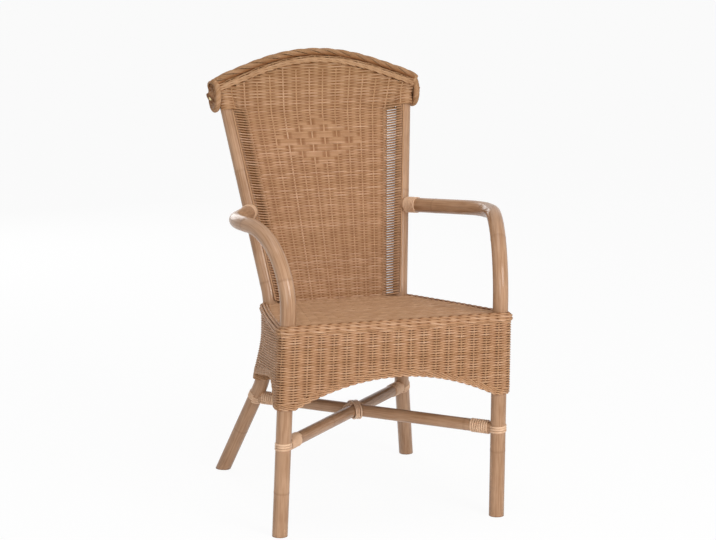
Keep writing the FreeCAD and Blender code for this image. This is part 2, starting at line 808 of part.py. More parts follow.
def build_skirts():
    """Four woven aprons that wrap the corner poles, each with an arched lower edge."""
    wall = skirt_tube(skirt_reach).cut(skirt_tube(skirt_inset))
    wall = wall.common(under_plane(size("seat_thickness")))
    posts = [leg_post_shape(side, 2 * size("joint_clearance")) for side in (-1, 1)]
    wall = wall.cut(Part.makeCompound(posts))
    front_arch, side_arch, rear_arch = skirt_arches()
    plan = [Vector(point.x, point.y, 0) for point in corner_axes(size("skirt_front_corner_height"))]
    arches = {"front": front_arch, "right": side_arch, "rear": rear_arch, "left": side_arch}
    for index, (word, arch) in enumerate(arches.items()):
        wedge = corner_wedge(plan[index], plan[(index + 1) % len(plan)])
        keep(feature(f"skirt_{word}_weave", wall.common(wedge).cut(arch)), f"skirt_{word}")


def build_seat():
    """Woven seat that slopes to the back, pierced by the four poles."""
    corners = [Vector(point.x, point.y, 0) for point in corner_axes(size("seat_height"))]
    outline = Part.Face(ring_wire(corners, side_bows(), skirt_reach))
    prism = outline.extrude(Vector(0, 0, 2 * size("seat_height")))
    seat = prism.common(under_plane(0)).cut(under_plane(size("seat_thickness")))
    seat = seat.Solids[0]
    top = max(seat.Faces, key=lambda face: face.CenterOfMass.z * face.Area)
    seat = seat.makeFillet(size("seat_edge_radius"), top.OuterWire.Edges)
    clear = 2 * size("skirt_clearance")
    poles = [shape(side, clear) for shape in (leg_arm_shape, leg_post_shape) for side in (-1, 1)]
    for pole in poles:
        seat = main_solid(seat.cut(pole))
    seat = seat.fuse(seat_stakes())
    keep(feature("seat_weave", main_solid(seat)), "seat_panel")


def seat_stakes():
    """The seat's stakes, which show through the weave as low ridges from front to back."""
    radius = size("seat_stake_diameter") / 2
    sunk = size("seat_thickness") / 2
    half_front = size("front_seat_half_span") - size("leg_diameter") - radius
    half_rear = size("rear_seat_half_span") - size("post_diameter") - radius
    front = size("seat_edge_radius") + radius - skirt_reach
    rear = size("seat_depth") - size("post_diameter")
    below = under_plane(sunk)
    stakes = []
    for index in range(SEAT_STAKES):
        share = 2 * index / (SEAT_STAKES - 1) - 1
        start, end = (
            Vector(share * half, front_y + setback, size("seat_height") - seat_slope * setback - sunk)
            for half, setback in ((half_front, front), (half_rear, rear))
        )
        stakes.append(rod(start, end, 2 * radius).cut(below))
    return stakes


def build_leg_braids():
    """Plaited rings on the rear legs, level on top where the skirt's corners end on them."""
    top = size("skirt_rear_corner_height") - size("joint_clearance")
    height = size("leg_braid_height")
    width = 2 * rear_reach
    above = Part.makeBox(2 * width, 2 * width, width, Vector(-width, -width, top))
    outer = size("post_diameter") + 2 * (size("joint_clearance") + size("leg_braid_thickness"))
    for side, word in ((-1, "left"), (1, "right")):
        low, high = (mirrored(along(rear_knee, rear_seat, z), side) for z in (top - height, top + height))
        leg = leg_post_shape(side, 2 * size("joint_clearance"))
        ring = rod(low, high, outer).cut(Part.makeCompound([above, leg]))
        keep(feature(f"leg_braid_{word}_ring", main_solid(ring)), f"leg_braid_{word}")


def arc_middle(start, heading, end):
    """Middle of the arc that leaves a point along a heading and ends at another."""
    chord = end - start
    sideways = heading - chord * (heading.dot(chord) / chord.dot(chord))
    rise = chord.Length / 2 * math.tan(heading.getAngle(chord) / 2)
    return start + chord * 0.5 + sideways.normalize() * rise


def biarc(start, leaving, end, arriving):
    """Two tangent arcs between two points with given headings."""
    chord = end - start
    both = leaving + arriving
    bend = 2 * (1 - leaving.dot(arriving))
    reach = (math.sqrt(chord.dot(both) ** 2 + bend * chord.dot(chord)) - chord.dot(both)) / bend
    joint = (start + leaving * reach + end - arriving * reach) * 0.5
    return [
        Part.Arc(start, arc_middle(start, leaving, joint), joint).toShape(),
        Part.Arc(joint, arc_middle(end, arriving * -1, joint), end).toShape(),
    ]


def winding(label, centre, axis, first, half_long, half_high, turns):
    """One unbroken strand wound round a pole or a crossing, quarter turn by quarter turn."""
    wire = size("binding_diameter")
    pitch = size("binding_pitch")
    axis = Vector(axis).normalize()
    first = (first - axis * first.dot(axis)).normalize()
    second = axis.cross(first)
    stations = []
    for quarter in range(4 * turns + 1):
        angle = quarter * math.pi / 2
        place = first * (half_long * math.cos(angle)) + second * (half_high * math.sin(angle))
        heading = second * (half_high * math.cos(angle)) - first * (half_long * math.sin(angle))
        climb = axis * (pitch * (quarter / 4 - turns / 2))
        stations.append((centre + place + climb, (heading + axis * (pitch / (2 * math.pi))).normalize()))
    start, heading = stations[0]
    edges = [Part.LineSegment(start - heading * wire, start).toShape()]
    for (here, leaving), (there, arriving) in zip(stations, stations[1:]):
        edges += biarc(here, leaving, there, arriving)
    end, last_heading = stations[-1]
    edges.append(Part.LineSegment(end, end + last_heading * wire).toShape())
    path = Part.Wire(edges)
    print(label, "least gap to itself", round(least_gap(path, wire), 2))
    ring = Part.Wire(Part.Circle(start - heading * wire, heading, wire / 2).toShape())
    return path.makePipeShell([ring], True, False)


def least_gap(path, wire):
    """Least free distance between two turns of a winding, measured on points."""
    step = wire / 2
    points = path.discretize(Distance=step)
    apart = int(4 * wire / step)
    least = min(
        first.distanceToPoint(second)
        for index, first in enumerate(points)
        for second in points[index + apart :]
    )
    return least - wire


def pole_winding(label, start, end, offset, diameter, turns):
    """A winding round a straight pole, from a distance past the start of its run."""
    along_pole = (end - start).normalize()
    half_length = turns * size("binding_pitch") / 2
    centre = start + along_pole * (offset + half_length)
    reach = diameter / 2 + size("joint_clearance") + size("binding_diameter") / 2
    return winding(label, centre, along_pole, UP.cross(along_pole) + RIGHT, reach, reach, turns)


def clear_offset(angle, own_diameter, other_diameter):
    """How far from a joint a winding starts so that it clears the other pole."""
    wire = size("binding_diameter")
    return wire + other_diameter / 2 / math.sin(angle) + (own_diameter / 2 + wire) / math.tan(angle)


def sharp_angle(first, second):
    """Angle between two poles that both run on past their joint."""
    angle = first.getAngle(second)
    return min(angle, math.pi - angle)


def build_bindings():
    """Peel bindings on the stretcher joints, their crossing and the arm ends."""
    thickness = size("stretcher_diameter")
    for side, word in ((-1, "left"), (1, "right")):
        front, far_rear = stretcher_ends(side)
        far_front, rear = stretcher_ends(-side)
        joints = (
            ("front", front, far_rear, mirrored(front_seat, side), "leg_diameter"),
            ("rear", rear, far_front, mirrored(rear_foot, side), "post_diameter"),
        )
        for place, joint, far, leg_far, leg_size in joints:
            label = f"binding_{place}_{word}"
            run, leg_run = far - joint, leg_far - joint
            offset = clear_offset(sharp_angle(run, leg_run), thickness, size(leg_size))
            on_stretcher = pole_winding(label, joint, far, offset, thickness, STRETCHER_TURNS)
            offset = clear_offset(run.getAngle(leg_run), size(leg_size), thickness)
            on_leg = pole_winding(label + " on leg", joint, leg_far, offset, size(leg_size), LEG_TURNS)
            keep(feature(label + "_wire", Part.makeCompound([on_stretcher, on_leg])), label)
        label = f"arm_binding_{word}"
        start, end = mirrored(arm_end, side), mirrored(arm_bow, side)
        angle = sharp_angle(end - start, mirrored(post_top - rear_seat, side))
        offset = clear_offset(angle, size("leg_diameter"), size("post_diameter"))
        strand = pole_winding(label, start, end, offset, size("leg_diameter"), ARM_TURNS)
        keep(feature(label + "_wire", strand), label)
    build_crossing_binding()


def build_crossing_binding():
    """Two windings over the halved joint, one across the other."""
    wire = size("binding_diameter")
    radius = size("stretcher_diameter") / 2
    centre = crossing_point()
    front, rear = stretcher_ends(1)
    run = rear - front
    strands = []
    clear = size("joint_clearance")
    half_width = CROSSING_TURNS * size("binding_pitch") / 2
    lower = radius + size("crossing_binding_lift") + wire / 2
    upper = lower + wire + size("crossing_binding_gap")
    for axis, first, high in ((RIGHT, BACKWARD, lower), (BACKWARD, RIGHT, upper)):
        half_angle = run.getAngle(Vector(run.x * first.x, run.y * first.y, 0))
        reach = (radius + wire / 2 + clear) / math.sin(half_angle) + half_width / math.tan(half_angle)
        strands.append(winding("binding_crossing", centre, axis, first, reach, high, CROSSING_TURNS))
    keep(feature("crossing_wires", Part.makeCompound(strands)), "binding_crossing")


build_frame()
build_back()
build_seat()
build_skirts()
build_leg_braids()
build_bindings()
doc.recompute()

for obj in doc.Objects:
    if "Invalid" in obj.State or "Error" in obj.State:
        raise RuntimeError(f"{obj.Label} failed to build: {obj.State}")
for label, obj in nodes.items():
    if obj.Shape.isNull() or not obj.Shape.isValid() or not obj.Shape.Solids:
        raise RuntimeError(f"{label} has no valid solid")

os.makedirs("parts", exist_ok=True)
for label, obj in nodes.items():
    obj.Shape.exportStep(f"parts/{label}.step")
    print(label, len(obj.Shape.Solids), "solids", round(obj.Shape.Volume / 1000, 1), "cm3")
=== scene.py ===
import math
import random

import bmesh
import bpy
from mathutils import Matrix, Vector


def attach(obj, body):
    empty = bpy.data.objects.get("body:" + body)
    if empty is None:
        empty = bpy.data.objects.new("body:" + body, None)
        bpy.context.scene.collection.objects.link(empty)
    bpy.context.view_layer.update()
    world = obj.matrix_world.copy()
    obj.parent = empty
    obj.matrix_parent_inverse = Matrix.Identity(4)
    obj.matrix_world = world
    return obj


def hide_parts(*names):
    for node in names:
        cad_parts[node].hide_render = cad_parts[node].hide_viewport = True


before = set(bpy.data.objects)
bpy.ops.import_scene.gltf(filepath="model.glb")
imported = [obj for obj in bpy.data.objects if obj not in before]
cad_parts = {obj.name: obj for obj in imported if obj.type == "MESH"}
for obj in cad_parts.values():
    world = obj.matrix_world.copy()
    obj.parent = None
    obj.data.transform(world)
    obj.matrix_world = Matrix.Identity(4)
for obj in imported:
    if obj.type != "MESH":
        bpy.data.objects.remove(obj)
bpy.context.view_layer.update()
diceSeed = 11
dice = random.Random(diceSeed)
scene = bpy.context.scene
scene.view_settings.view_transform = "Standard"
upward = Vector((0, 0, 1))
bothSides = ((-1, "left"), (1, "right"))

# pole axes on the right-hand side and the chair's main sizes, in metres
chair = {
    "frontFoot": Vector((0.244, -0.2750, 0.0)),
    "frontSeat": Vector((0.234, -0.3040, 0.454)),
    "armCorner": Vector((0.2298, -0.3162, 0.645)),
    "armBow": Vector((0.291, -0.0890, 0.642)),
    "armEnd": Vector((0.1794, 0.1755, 0.617)),
    "rearFoot": Vector((0.226, 0.2620, 0.0)),
    "rearKnee": Vector((0.166, 0.1310, 0.235)),
    "rearSeat": Vector((0.152, 0.1040, 0.4194)),
    "postTop": Vector((0.216, 0.2712, 0.8813)),
    "stretcherFront": Vector((0.2396, -0.2877, 0.198)),
    "stretcherRear": Vector((0.1765, 0.1538, 0.194)),
    "legRadius": 0.0165,
    "postRadius": 0.0165,
    "stretcherRadius": 0.0135,
    "lean": math.radians(19.9),
    "crestRadius": 0.4686,
    "crestCentre": 0.0754,
    "shoulderDip": 0.006,
    "shoulderHalf": 0.232,
    "waistLow": 0.250,
    "waistHigh": 0.425,
    "waistDepth": 0.007,
    "scrollForward": -0.003,
    "panelForward": -0.010,
}


def mirrored(point, side):
    return Vector((point.x * side, point.y, point.z))


def chairOn(side):
    return {key: mirrored(value, side) for key, value in chair.items() if isinstance(value, Vector)}


def seatHeight(y):
    front, rear = chair["frontSeat"], chair["rearSeat"]
    return front.z + (rear.z - front.z) * (y - front.y) / (rear.y - front.y)


def backPoint(across, up, forward):
    base, lean = chair["rearSeat"], chair["lean"]
    y = base.y + up * math.sin(lean) - forward * math.cos(lean)
    z = base.z + up * math.cos(lean) + forward * math.sin(lean)
    return Vector((across, y, z))


backForward = Vector((0, -math.cos(chair["lean"]), math.sin(chair["lean"])))
backUp = Vector((0, math.sin(chair["lean"]), math.cos(chair["lean"])))


def crestUp(across):
    arc = chair["crestCentre"] + math.sqrt(chair["crestRadius"] ** 2 - across**2)
    part = min(1, abs(across) / chair["shoulderHalf"])
    return arc - chair["shoulderDip"] * math.sin(math.pi * part**2)


def poleAt(start, end, height):
    return start.lerp(end, (height - start.z) / (end.z - start.z))


def waist(height):
    part = (height - chair["waistLow"]) / (chair["waistHigh"] - chair["waistLow"])
    return chair["waistDepth"] * math.sin(math.pi * part) ** 2 if 0 < part < 1 else 0.0


def postAcross(up):
    seat, top = chair["rearSeat"], chair["postTop"]
    return seat.x + (top.x - seat.x) * up * math.cos(chair["lean"]) / (top.z - seat.z)


# materials

screenCurve = {"most": 255, "knee": 0.04045, "slope": 12.92, "offset": 0.055, "power": 2.4}


# linear colour from screen levels
def shade(*levels):
    offset, colour = screenCurve["offset"], []
    for level in levels:
        part = level / screenCurve["most"]
        if part <= screenCurve["knee"]:
            colour.append(part / screenCurve["slope"])
        else:
            colour.append(((part + offset) / (1 + offset)) ** screenCurve["power"])
    return colour + [1]


def newMaterial(name):
    material = bpy.data.materials.new(name)
    material.use_nodes = True
    tree = material.node_tree
    return material, tree, tree.nodes["Principled BSDF"]


def addNode(tree, kind, **inputs):
    node = tree.nodes.new(kind)
    for key, value in inputs.items():
        if key in node.inputs:
            node.inputs[key].default_value = value
        else:
            setattr(node, key, value)
    return node


def addRamp(tree, source, stops):
    ramp = addNode(tree, "ShaderNodeValToRGB")
    for _ in stops[2:]:
        ramp.color_ramp.elements.new(0.5)
    for element, (place, colour) in zip(ramp.color_ramp.elements, stops):
        element.position = place
        element.color = colour
    tree.links.new(source, ramp.inputs["Fac"])
    return ramp.outputs["Color"]


# the sockets of a mix of colours: its amount, its two colours and its result
mixInputs, mixResult = (0, 6, 7), 2


def addMix(tree, kind, *values):
    mix = addNode(tree, "ShaderNodeMix", data_type="RGBA", blend_type=kind)
    for place, value in zip(mixInputs, values):
        socket = mix.inputs[place]
        if isinstance(value, bpy.types.NodeSocket):
            tree.links.new(value, socket)
        else:
            socket.default_value = value
    return mix.outputs[mixResult]


def addNoise(tree, place, scale, detail):
    noise = addNode(tree, "ShaderNodeTexNoise", Scale=scale, Detail=detail)
    tree.links.new(place, noise.inputs["Vector"])
    return noise.outputs["Fac"]


def grey(level):
    return (level, level, level, 1)


reedLook = {
    "patchDetail": 3.0,
    "patchRamp": [(0.42, grey(0.0)), (0.68, grey(0.6))],
    "fibreScale": 1400.0,
    "fibreDetail": 2.0,
    "fibreHeight": 0.0003,
}

weaveLook = {
    **reedLook,
    "tones": [
        (0.0, shade(170, 129, 94)),
        (0.3, shade(180, 139, 104)),
        (0.7, shade(187, 146, 112)),
        (1.0, shade(198, 159, 128)),
    ],
    "patch": shade(166, 124, 91),
    "patchScale": 38.0,
    # painted shade: dark brown for strands of low lit tone, which lie back in recesses and holes
    "depth": [(0.0, (0.19, 0.085, 0.035, 1)), (0.3, (0.57, 0.43, 0.32, 1)), (0.55, grey(1.0))],
    "fibreBump": 0.25,
    "topTint": (0.90, 0.915, 0.87, 1),
    "topHeights": (0.76, 0.93),
    "roughness": 0.55,
    "specular": 0.08,
}


def weaveMaterial(name, look):
    material, tree, finish = newMaterial(name)
    place = addNode(tree, "ShaderNodeTexCoord").outputs["Object"]
    island = addNode(tree, "ShaderNodeNewGeometry").outputs["Random Per Island"]
    colour = addRamp(tree, island, look["tones"])
    patch = addNoise(tree, place, look["patchScale"], look["patchDetail"])
    colour = addMix(tree, "MIX", addRamp(tree, patch, look["patchRamp"]), colour, look["patch"])
    if "topTint" in look:
        height = addNode(tree, "ShaderNodeSeparateXYZ")
        tree.links.new(place, height.inputs[0])
        rise = addNode(tree, "ShaderNodeMapRange")
        rise.inputs["From Min"].default_value, rise.inputs["From Max"].default_value = look["topHeights"]
        tree.links.new(height.outputs["Z"], rise.inputs["Value"])
        colour = addMix(tree, "MULTIPLY", rise.outputs["Result"], colour, look["topTint"])
    # painted shade, multiplied in by each strand's lit tone
    if "depth" in look:
        depth = addNode(tree, "ShaderNodeAttribute", attribute_name="litTone").outputs["Fac"]
        colour = addMix(tree, "MULTIPLY", 1.0, colour, addRamp(tree, depth, look["depth"]))
    tree.links.new(colour, finish.inputs["Base Color"])
    bump = addNode(tree, "ShaderNodeBump", Strength=look["fibreBump"], Distance=look["fibreHeight"])
    fibre = addNoise(tree, place, look["fibreScale"], look["fibreDetail"])
    tree.links.new(fibre, bump.inputs["Height"])
    tree.links.new(bump.outputs["Normal"], finish.inputs["Normal"])
    finish.inputs["Roughness"].default_value = look["roughness"]
    finish.inputs["Specular IOR Level"].default_value = look["specular"]
    return material


poleLook = {
    "pale": shade(181, 143, 112),
    "warm": shade(153, 114, 82),
    "ring": shade(128, 90, 62),
    "ringRamp": [(0.12, grey(0.0)), (0.5, grey(0.4)), (1.0, grey(0.9))],
    "streakScale": 330.0,
    "streakDetail": 4.0,
    "streakStretch": (1, 1, 0.05),
    "streakStops": (0.38, 0.58),
    "blotchScale": 16.0,
    "blotchDetail": 2.0,
    "blotchStops": (0.35, 0.62),
    "blotchShare": 0.4,
    "railDetail": 4.0,
    "railStops": (0.35, 0.65),
    "roughness": 0.5,
    "specular": 0.12,
    "coat": 0.5,
    "coatRoughness": 0.18,
}


def poleMaterial(name, look):
    material, tree, finish = newMaterial(name)
    grain = addNode(tree, "ShaderNodeAttribute", attribute_name="grain").outputs["Vector"]
    stretch = addNode(tree, "ShaderNodeMapping")
    stretch.inputs["Scale"].default_value = look["streakStretch"]
    tree.links.new(grain, stretch.inputs["Vector"])
    streak = addNoise(tree, stretch.outputs["Vector"], look["streakScale"], look["streakDetail"])
    blotch = addNoise(tree, grain, look["blotchScale"], look["blotchDetail"])
    tones = (look["warm"], look["pale"])
    fine = addRamp(tree, streak, list(zip(look["streakStops"], tones)))
    wide = addRamp(tree, blotch, list(zip(look["blotchStops"], tones)))
    colour = addMix(tree, "MIX", look["blotchShare"], fine, wide)
    ring = addNode(tree, "ShaderNodeAttribute", attribute_name="node").outputs["Fac"]
    colour = addMix(tree, "MIX", addRamp(tree, ring, look["ringRamp"]), colour, look["ring"])
    tree.links.new(colour, finish.inputs["Base Color"])
    finish.inputs["Roughness"].default_value = look["roughness"]
    finish.inputs["Specular IOR Level"].default_value = look["specular"]
    finish.inputs["Coat Weight"].default_value = look["coat"]
    finish.inputs["Coat Roughness"].default_value = look["coatRoughness"]
    return material


def railMaterial(name, look):
    material, tree, finish = newMaterial(name)
    place = addNode(tree, "ShaderNodeTexCoord").outputs["Object"]
    blotch = addNoise(tree, place, look["blotchScale"], look["railDetail"])
    colour = addRamp(tree, blotch, list(zip(look["railStops"], (look["warm"], look["pale"]))))
    tree.links.new(colour, finish.inputs["Base Color"])
    finish.inputs["Roughness"].default_value = look["roughness"]
    return material


peelLook = {
    **reedLook,
    "tones": [(0.0, shade(206, 168, 136)), (0.5, shade(220, 184, 152)), (1.0, shade(232, 199, 170))],
    "patch": shade(194, 150, 116),
    "patchScale": 60.0,
    "fibreBump": 0.2,
    "roughness": 0.4,
    "specular": 0.35,
}

metalLook = {
    "steel": {"dark": shade(150, 150, 150), "bright": shade(200, 200, 200), "roughness": 0.35},
    "brass": {"dark": shade(200, 176, 120), "bright": shade(240, 222, 176), "roughness": 0.25},
    "speckleScale": 300.0,
    "speckleDetail": 3.0,
    "speckleStops": (0.3, 0.7),
}


def metalMaterial(name, look):
    material, tree, finish = newMaterial(name)
    place = addNode(tree, "ShaderNodeTexCoord").outputs["Object"]
    speckle = addNoise(tree, place, metalLook["speckleScale"], metalLook["speckleDetail"])
    stops = zip(metalLook["speckleStops"], (look["dark"], look["bright"]))
    colour = addRamp(tree, speckle, list(stops))
    tree.links.new(colour, finish.inputs["Base Color"])
    finish.inputs["Metallic"].default_value = 1.0
    finish.inputs["Roughness"].default_value = look["roughness"]
    return material


rawLook = {**poleLook, "roughness": 0.8, "specular": 0.05, "coat": 0.0}

weave = weaveMaterial("lacqueredReed", weaveLook)
peel = weaveMaterial("palePeel", peelLook)
pole = poleMaterial("lacqueredPole", poleLook)
rawPole = poleMaterial("rawPoleEnd", rawLook)
rail = railMaterial("plainPole", poleLook)
steel = metalMaterial("zincSteel", metalLook["steel"])
brass = metalMaterial("nailBrass", metalLook["brass"])
print("materials ready")


# shared ways of making pieces

def finishPiece(name, mesh, material, nodes):
    mesh.materials.append(material)
    piece = bpy.data.objects.new(name, mesh)
    scene.collection.objects.link(piece)
    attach(piece, "root")
    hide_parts(*nodes)
    print(name, len(mesh.polygons), "faces")


def meshFrom(bm, name):
    mesh = bpy.data.meshes.new(name)
    bm.to_mesh(mesh)
    bm.free()
    return mesh


def startRing(bm, segments, radius):
    ring = bmesh.ops.create_circle(bm, segments=segments, radius=radius)["verts"]
    return ring, list(dict.fromkeys(edge for vert in ring for edge in vert.link_edges))


fullLitTone = 1.0
strandSides = 6


# a strand is its points, its radius and its lit tone, from 0 to 1, which paints shade on it, darkest
# where it lies far back;
# the vertices of all strands' caps come first in the mesh
def strandMesh(name, strands, sides):
    curve = bpy.data.curves.new(name + "Lines", "CURVE")
    curve.dimensions = "3D"
    curve.bevel_depth = 1.0
    curve.bevel_resolution = (sides - 4) // 2
    curve.use_fill_caps = True
    # the caps carry no painted shade
    tones = [fullLitTone] * (2 * len(strands))
    for points, radius, litTone in strands:
        spline = curve.splines.new("POLY")
        spline.points.add(len(points) - 1)
        spline.points.foreach_set("co", [c for p in points for c in (p.x, p.y, p.z, 1.0)])
        spline.points.foreach_set("radius", [radius] * len(points))
        tones += litTone if isinstance(litTone, list) else [litTone] * len(points)
    holder = bpy.data.objects.new(name + "Lines", curve)
    mesh = bpy.data.meshes.new_from_object(holder)
    mesh.name = name
    bpy.data.objects.remove(holder)
    bpy.data.curves.remove(curve)
    around = len(mesh.vertices) // len(tones)
    layer = mesh.attributes.new("litTone", "FLOAT", "POINT")
    layer.data.foreach_set("value", [litTone for litTone in tones for _ in range(around)])
    mesh.shade_smooth()
    return mesh


def strandPiece(name, strands, material, nodes, sides=strandSides):
    finishPiece(name, strandMesh(name, strands, sides), material, nodes)


def plainWeave(row):
    sign = 1 if row % 2 else -1
    return lambda stake: sign


weaveGrip = 1.4


# woven lines in the stretches where the sheet exists
def wovenLines(place, first, last, signAt, sheet):
    count = max(2, round((last - first) * sheet["steps"]))
    lines, points, tones = [], [], []
    for step in range(count + 1):
        stake = first + (last - first) * step / count
        swing = math.cos(math.pi * stake)
        swing = math.copysign(abs(swing) ** sheet["dip"], swing)
        wave = math.tanh(weaveGrip * swing) / math.tanh(weaveGrip) * signAt(stake)
        spot = place(stake, sheet["amplitude"] * wave)
        if spot is not None:
            points.append(spot)
            # painted shade: the strand darkens where it passes behind a stake
            tones.append(sheet["litToneLow"] + (sheet["litToneHigh"] - sheet["litToneLow"]) * (0.5 + 0.5 * wave))
        if points and (spot is None or step == count):
            if len(points) > 1:
                lines.append((points, sheet["strand"], tones))
            points, tones = [], []
    return lines


poleBuild = {
    "step": 0.004,
    "sides": 24,
    "bendSteps": 4,
    "armBends": [0.160, 0.200],
    "legBends": [0.120, 0.140],
    "grainStarts": (0, 40),
    "firstNode": 0.03,
    "nodeGap": (0.15, 0.26),
    "nodeReach": 2.0,
    "nodeWidth": 0.0030,
    "nodeRise": 0.022,
    "nodeTone": 0.5,
    "endTone": 1.0,
    "sharpAngle": math.radians(50),
    "railHalf": 0.2478,
    "railRadius": 0.014,
    "railSteps": 120,
    "tuckIn": 0.01,
}


# straight runs joined by round bends, in even steps
def bentPath(points, radii, step):
    path = [points[0]]
    for before, corner, after, radius in zip(points, points[1:], points[2:], radii):
        back, ahead = (before - corner).normalized(), (after - corner).normalized()
        half = back.angle(ahead) / 2
        reach = radius / math.tan(half)
        middle = corner + (back + ahead).normalized() * radius / math.sin(half)
        first, last = corner + back * reach - middle, corner + ahead * reach - middle
        turn = first.angle(last)
        axis = first.cross(last)
        count = max(poleBuild["bendSteps"], int(turn * radius / step))
        for index in range(count + 1):
            path.append(middle + Matrix.Rotation(turn * index / count, 3, axis) @ first)
    path.append(points[-1])
    even = [path[0]]
    for start, end in zip(path, path[1:]):
        count = max(1, round((end - start).length / step))
        even += [start.lerp(end, (index + 1) / count) for index in range(count)]
    return even


# a pole with swollen nodes, and its grain and nodes stored for the material
def poleMesh(name, path, radius, flatFoot=False):
    bm = bmesh.new()
    grain = bm.verts.layers.float_vector.new("grain")
    nodeLayer = bm.verts.layers.float.new("node")
    start = dice.uniform(*poleBuild["grainStarts"])
    nodes = [start + dice.uniform(poleBuild["firstNode"], poleBuild["nodeGap"][0])]
    while nodes[-1] < start + poleBuild["nodeReach"]:
        nodes.append(nodes[-1] + dice.uniform(*poleBuild["nodeGap"]))
    heading = (path[1] - path[0]).normalized()
    turn = upward.rotation_difference(heading)
    ring, edges = startRing(bm, poleBuild["sides"], radius)
    for vert in ring:
        spot = vert.co.copy()
        vert.co = path[0] + turn @ spot
        vert[grain] = (spot.x, spot.y, start)
        vert[nodeLayer] = poleBuild["endTone"]
        if flatFoot:
            vert.co -= heading * (vert.co.z / heading.z)
    bmesh.ops.contextual_create(bm, geom=edges)
    along = start
    for index in range(1, len(path)):
        ahead = (path[min(index + 1, len(path) - 1)] - path[index - 1]).normalized()
        turn = heading.rotation_difference(ahead) @ turn
        heading = ahead
        along += (path[index] - path[index - 1]).length
        near = max(math.exp(-(((along - node) / poleBuild["nodeWidth"]) ** 2)) for node in nodes)
        edges = bmesh.ops.extrude_edge_only(bm, edges=edges)["geom"]
        newVerts = [item for item in edges if isinstance(item, bmesh.types.BMVert)]
        edges = [item for item in edges if isinstance(item, bmesh.types.BMEdge)]
        for vert in newVerts:
            spot = Vector((vert[grain][0], vert[grain][1], 0))
            vert.co = path[index] + turn @ spot * (1 + poleBuild["nodeRise"] * near)
            vert.co.z = max(vert.co.z, 0)
            vert[grain] = (spot.x, spot.y, along)
            atEnd = index == len(path) - 1
            vert[nodeLayer] = poleBuild["endTone"] if atEnd else poleBuild["nodeTone"] * near
    bmesh.ops.contextual_create(bm, geom=edges)
    bmesh.ops.recalc_face_normals(bm, faces=bm.faces)
    mesh = meshFrom(bm, name)
    mesh.shade_smooth()
    mesh.set_sharp_from_angle(angle=poleBuild["sharpAngle"])
    return mesh


def lengthsAlong(path):
    lengths = [0.0]
    for start, end in zip(path, path[1:]):
        lengths.append(lengths[-1] + (end - start).length)
    return lengths


# bundles of reeds twisted round a path, wide along the surface and low above it
def cable(path, normals, rope, turns=None):
    lengths = lengthsAlong(path)
    period = lengths[-1] / turns if turns else rope["period"]
    share = 1 / (rope["reeds"] + rope["groove"])
    strands = []
    for bundle in range(rope["bundles"]):
        for reed in range(rope["reeds"]):
            phase = (bundle + (reed + 0.5) * share) / rope["bundles"]
            points, tones = [], []
            for index, (point, normal) in enumerate(zip(path, normals)):
                ahead = path[min(index + 1, len(path) - 1)] - path[max(index - 1, 0)]
                sideways = ahead.normalized().cross(normal)
                angle = math.tau * (lengths[index] / period + phase)
                rise, sway = math.cos(angle), math.sin(angle)
                swell = 1 - (2 * (reed + 0.5) / rope["reeds"] - 1) ** 2
                high = (rope["high"] + rope["bulge"] * swell) * rise
                points.append(point + normal * high + sideways * rope["wide"] * sway)
                # painted shade: each reed darkens where it turns down into the rope's groove
                tones.append(rope["litToneLow"] + (rope["litTone"] - rope["litToneLow"]) * (0.5 + 0.5 * rise))
            strands.append((points, rope["radius"], tones))
    return strands


# litToneLow and litTone paint shade at the bottom and top of each reed's turn; the crest plait, hoops and
# coils are painted in shade all round
ropes = {
    "wale": {
        "bundles": 3, "reeds": 1, "groove": 0, "period": 0.066,
        "wide": 0.0017, "high": 0.0013, "bulge": 0.0, "radius": 0.0020, "litToneLow": 0.0, "litTone": 1.0,
    },
    "border": {
        "bundles": 2, "reeds": 1, "groove": 0, "period": 0.034,
        "wide": 0.0016, "high": 0.0015, "bulge": 0.0, "radius": 0.0020, "litToneLow": 0.0, "litTone": 1.0,
    },
    "crest": {
        "bundles": 3, "reeds": 5, "groove": 1.2, "period": 0.105,
        "wide": 0.0105, "high": 0.0034, "bulge": 0.0028, "radius": 0.0016, "litToneLow": 0.0, "litTone": 0.5,
    },
    "hoop": {
        "bundles": 3, "reeds": 4, "groove": 0.7,
        "wide": 0.0054, "high": 0.0046, "bulge": 0.0012, "radius": 0.0019, "litToneLow": 0.36, "litTone": 0.55,
    },
    "coil": {
        "bundles": 2, "reeds": 1, "groove": 0, "period": 0.026,
        "wide": 0.0015, "high": 0.0015, "bulge": 0.0, "radius": 0.0018, "litToneLow": 0.34, "litTone": 0.56,
    },
    "edge": {
        "bundles": 2, "reeds": 2, "groove": 0.4, "period": 0.050,
        "wide": 0.0045, "high": 0.0022, "bulge": 0.0, "radius": 0.0016, "litToneLow": 0.0, "litTone": 1.0,
    },
}

# poles

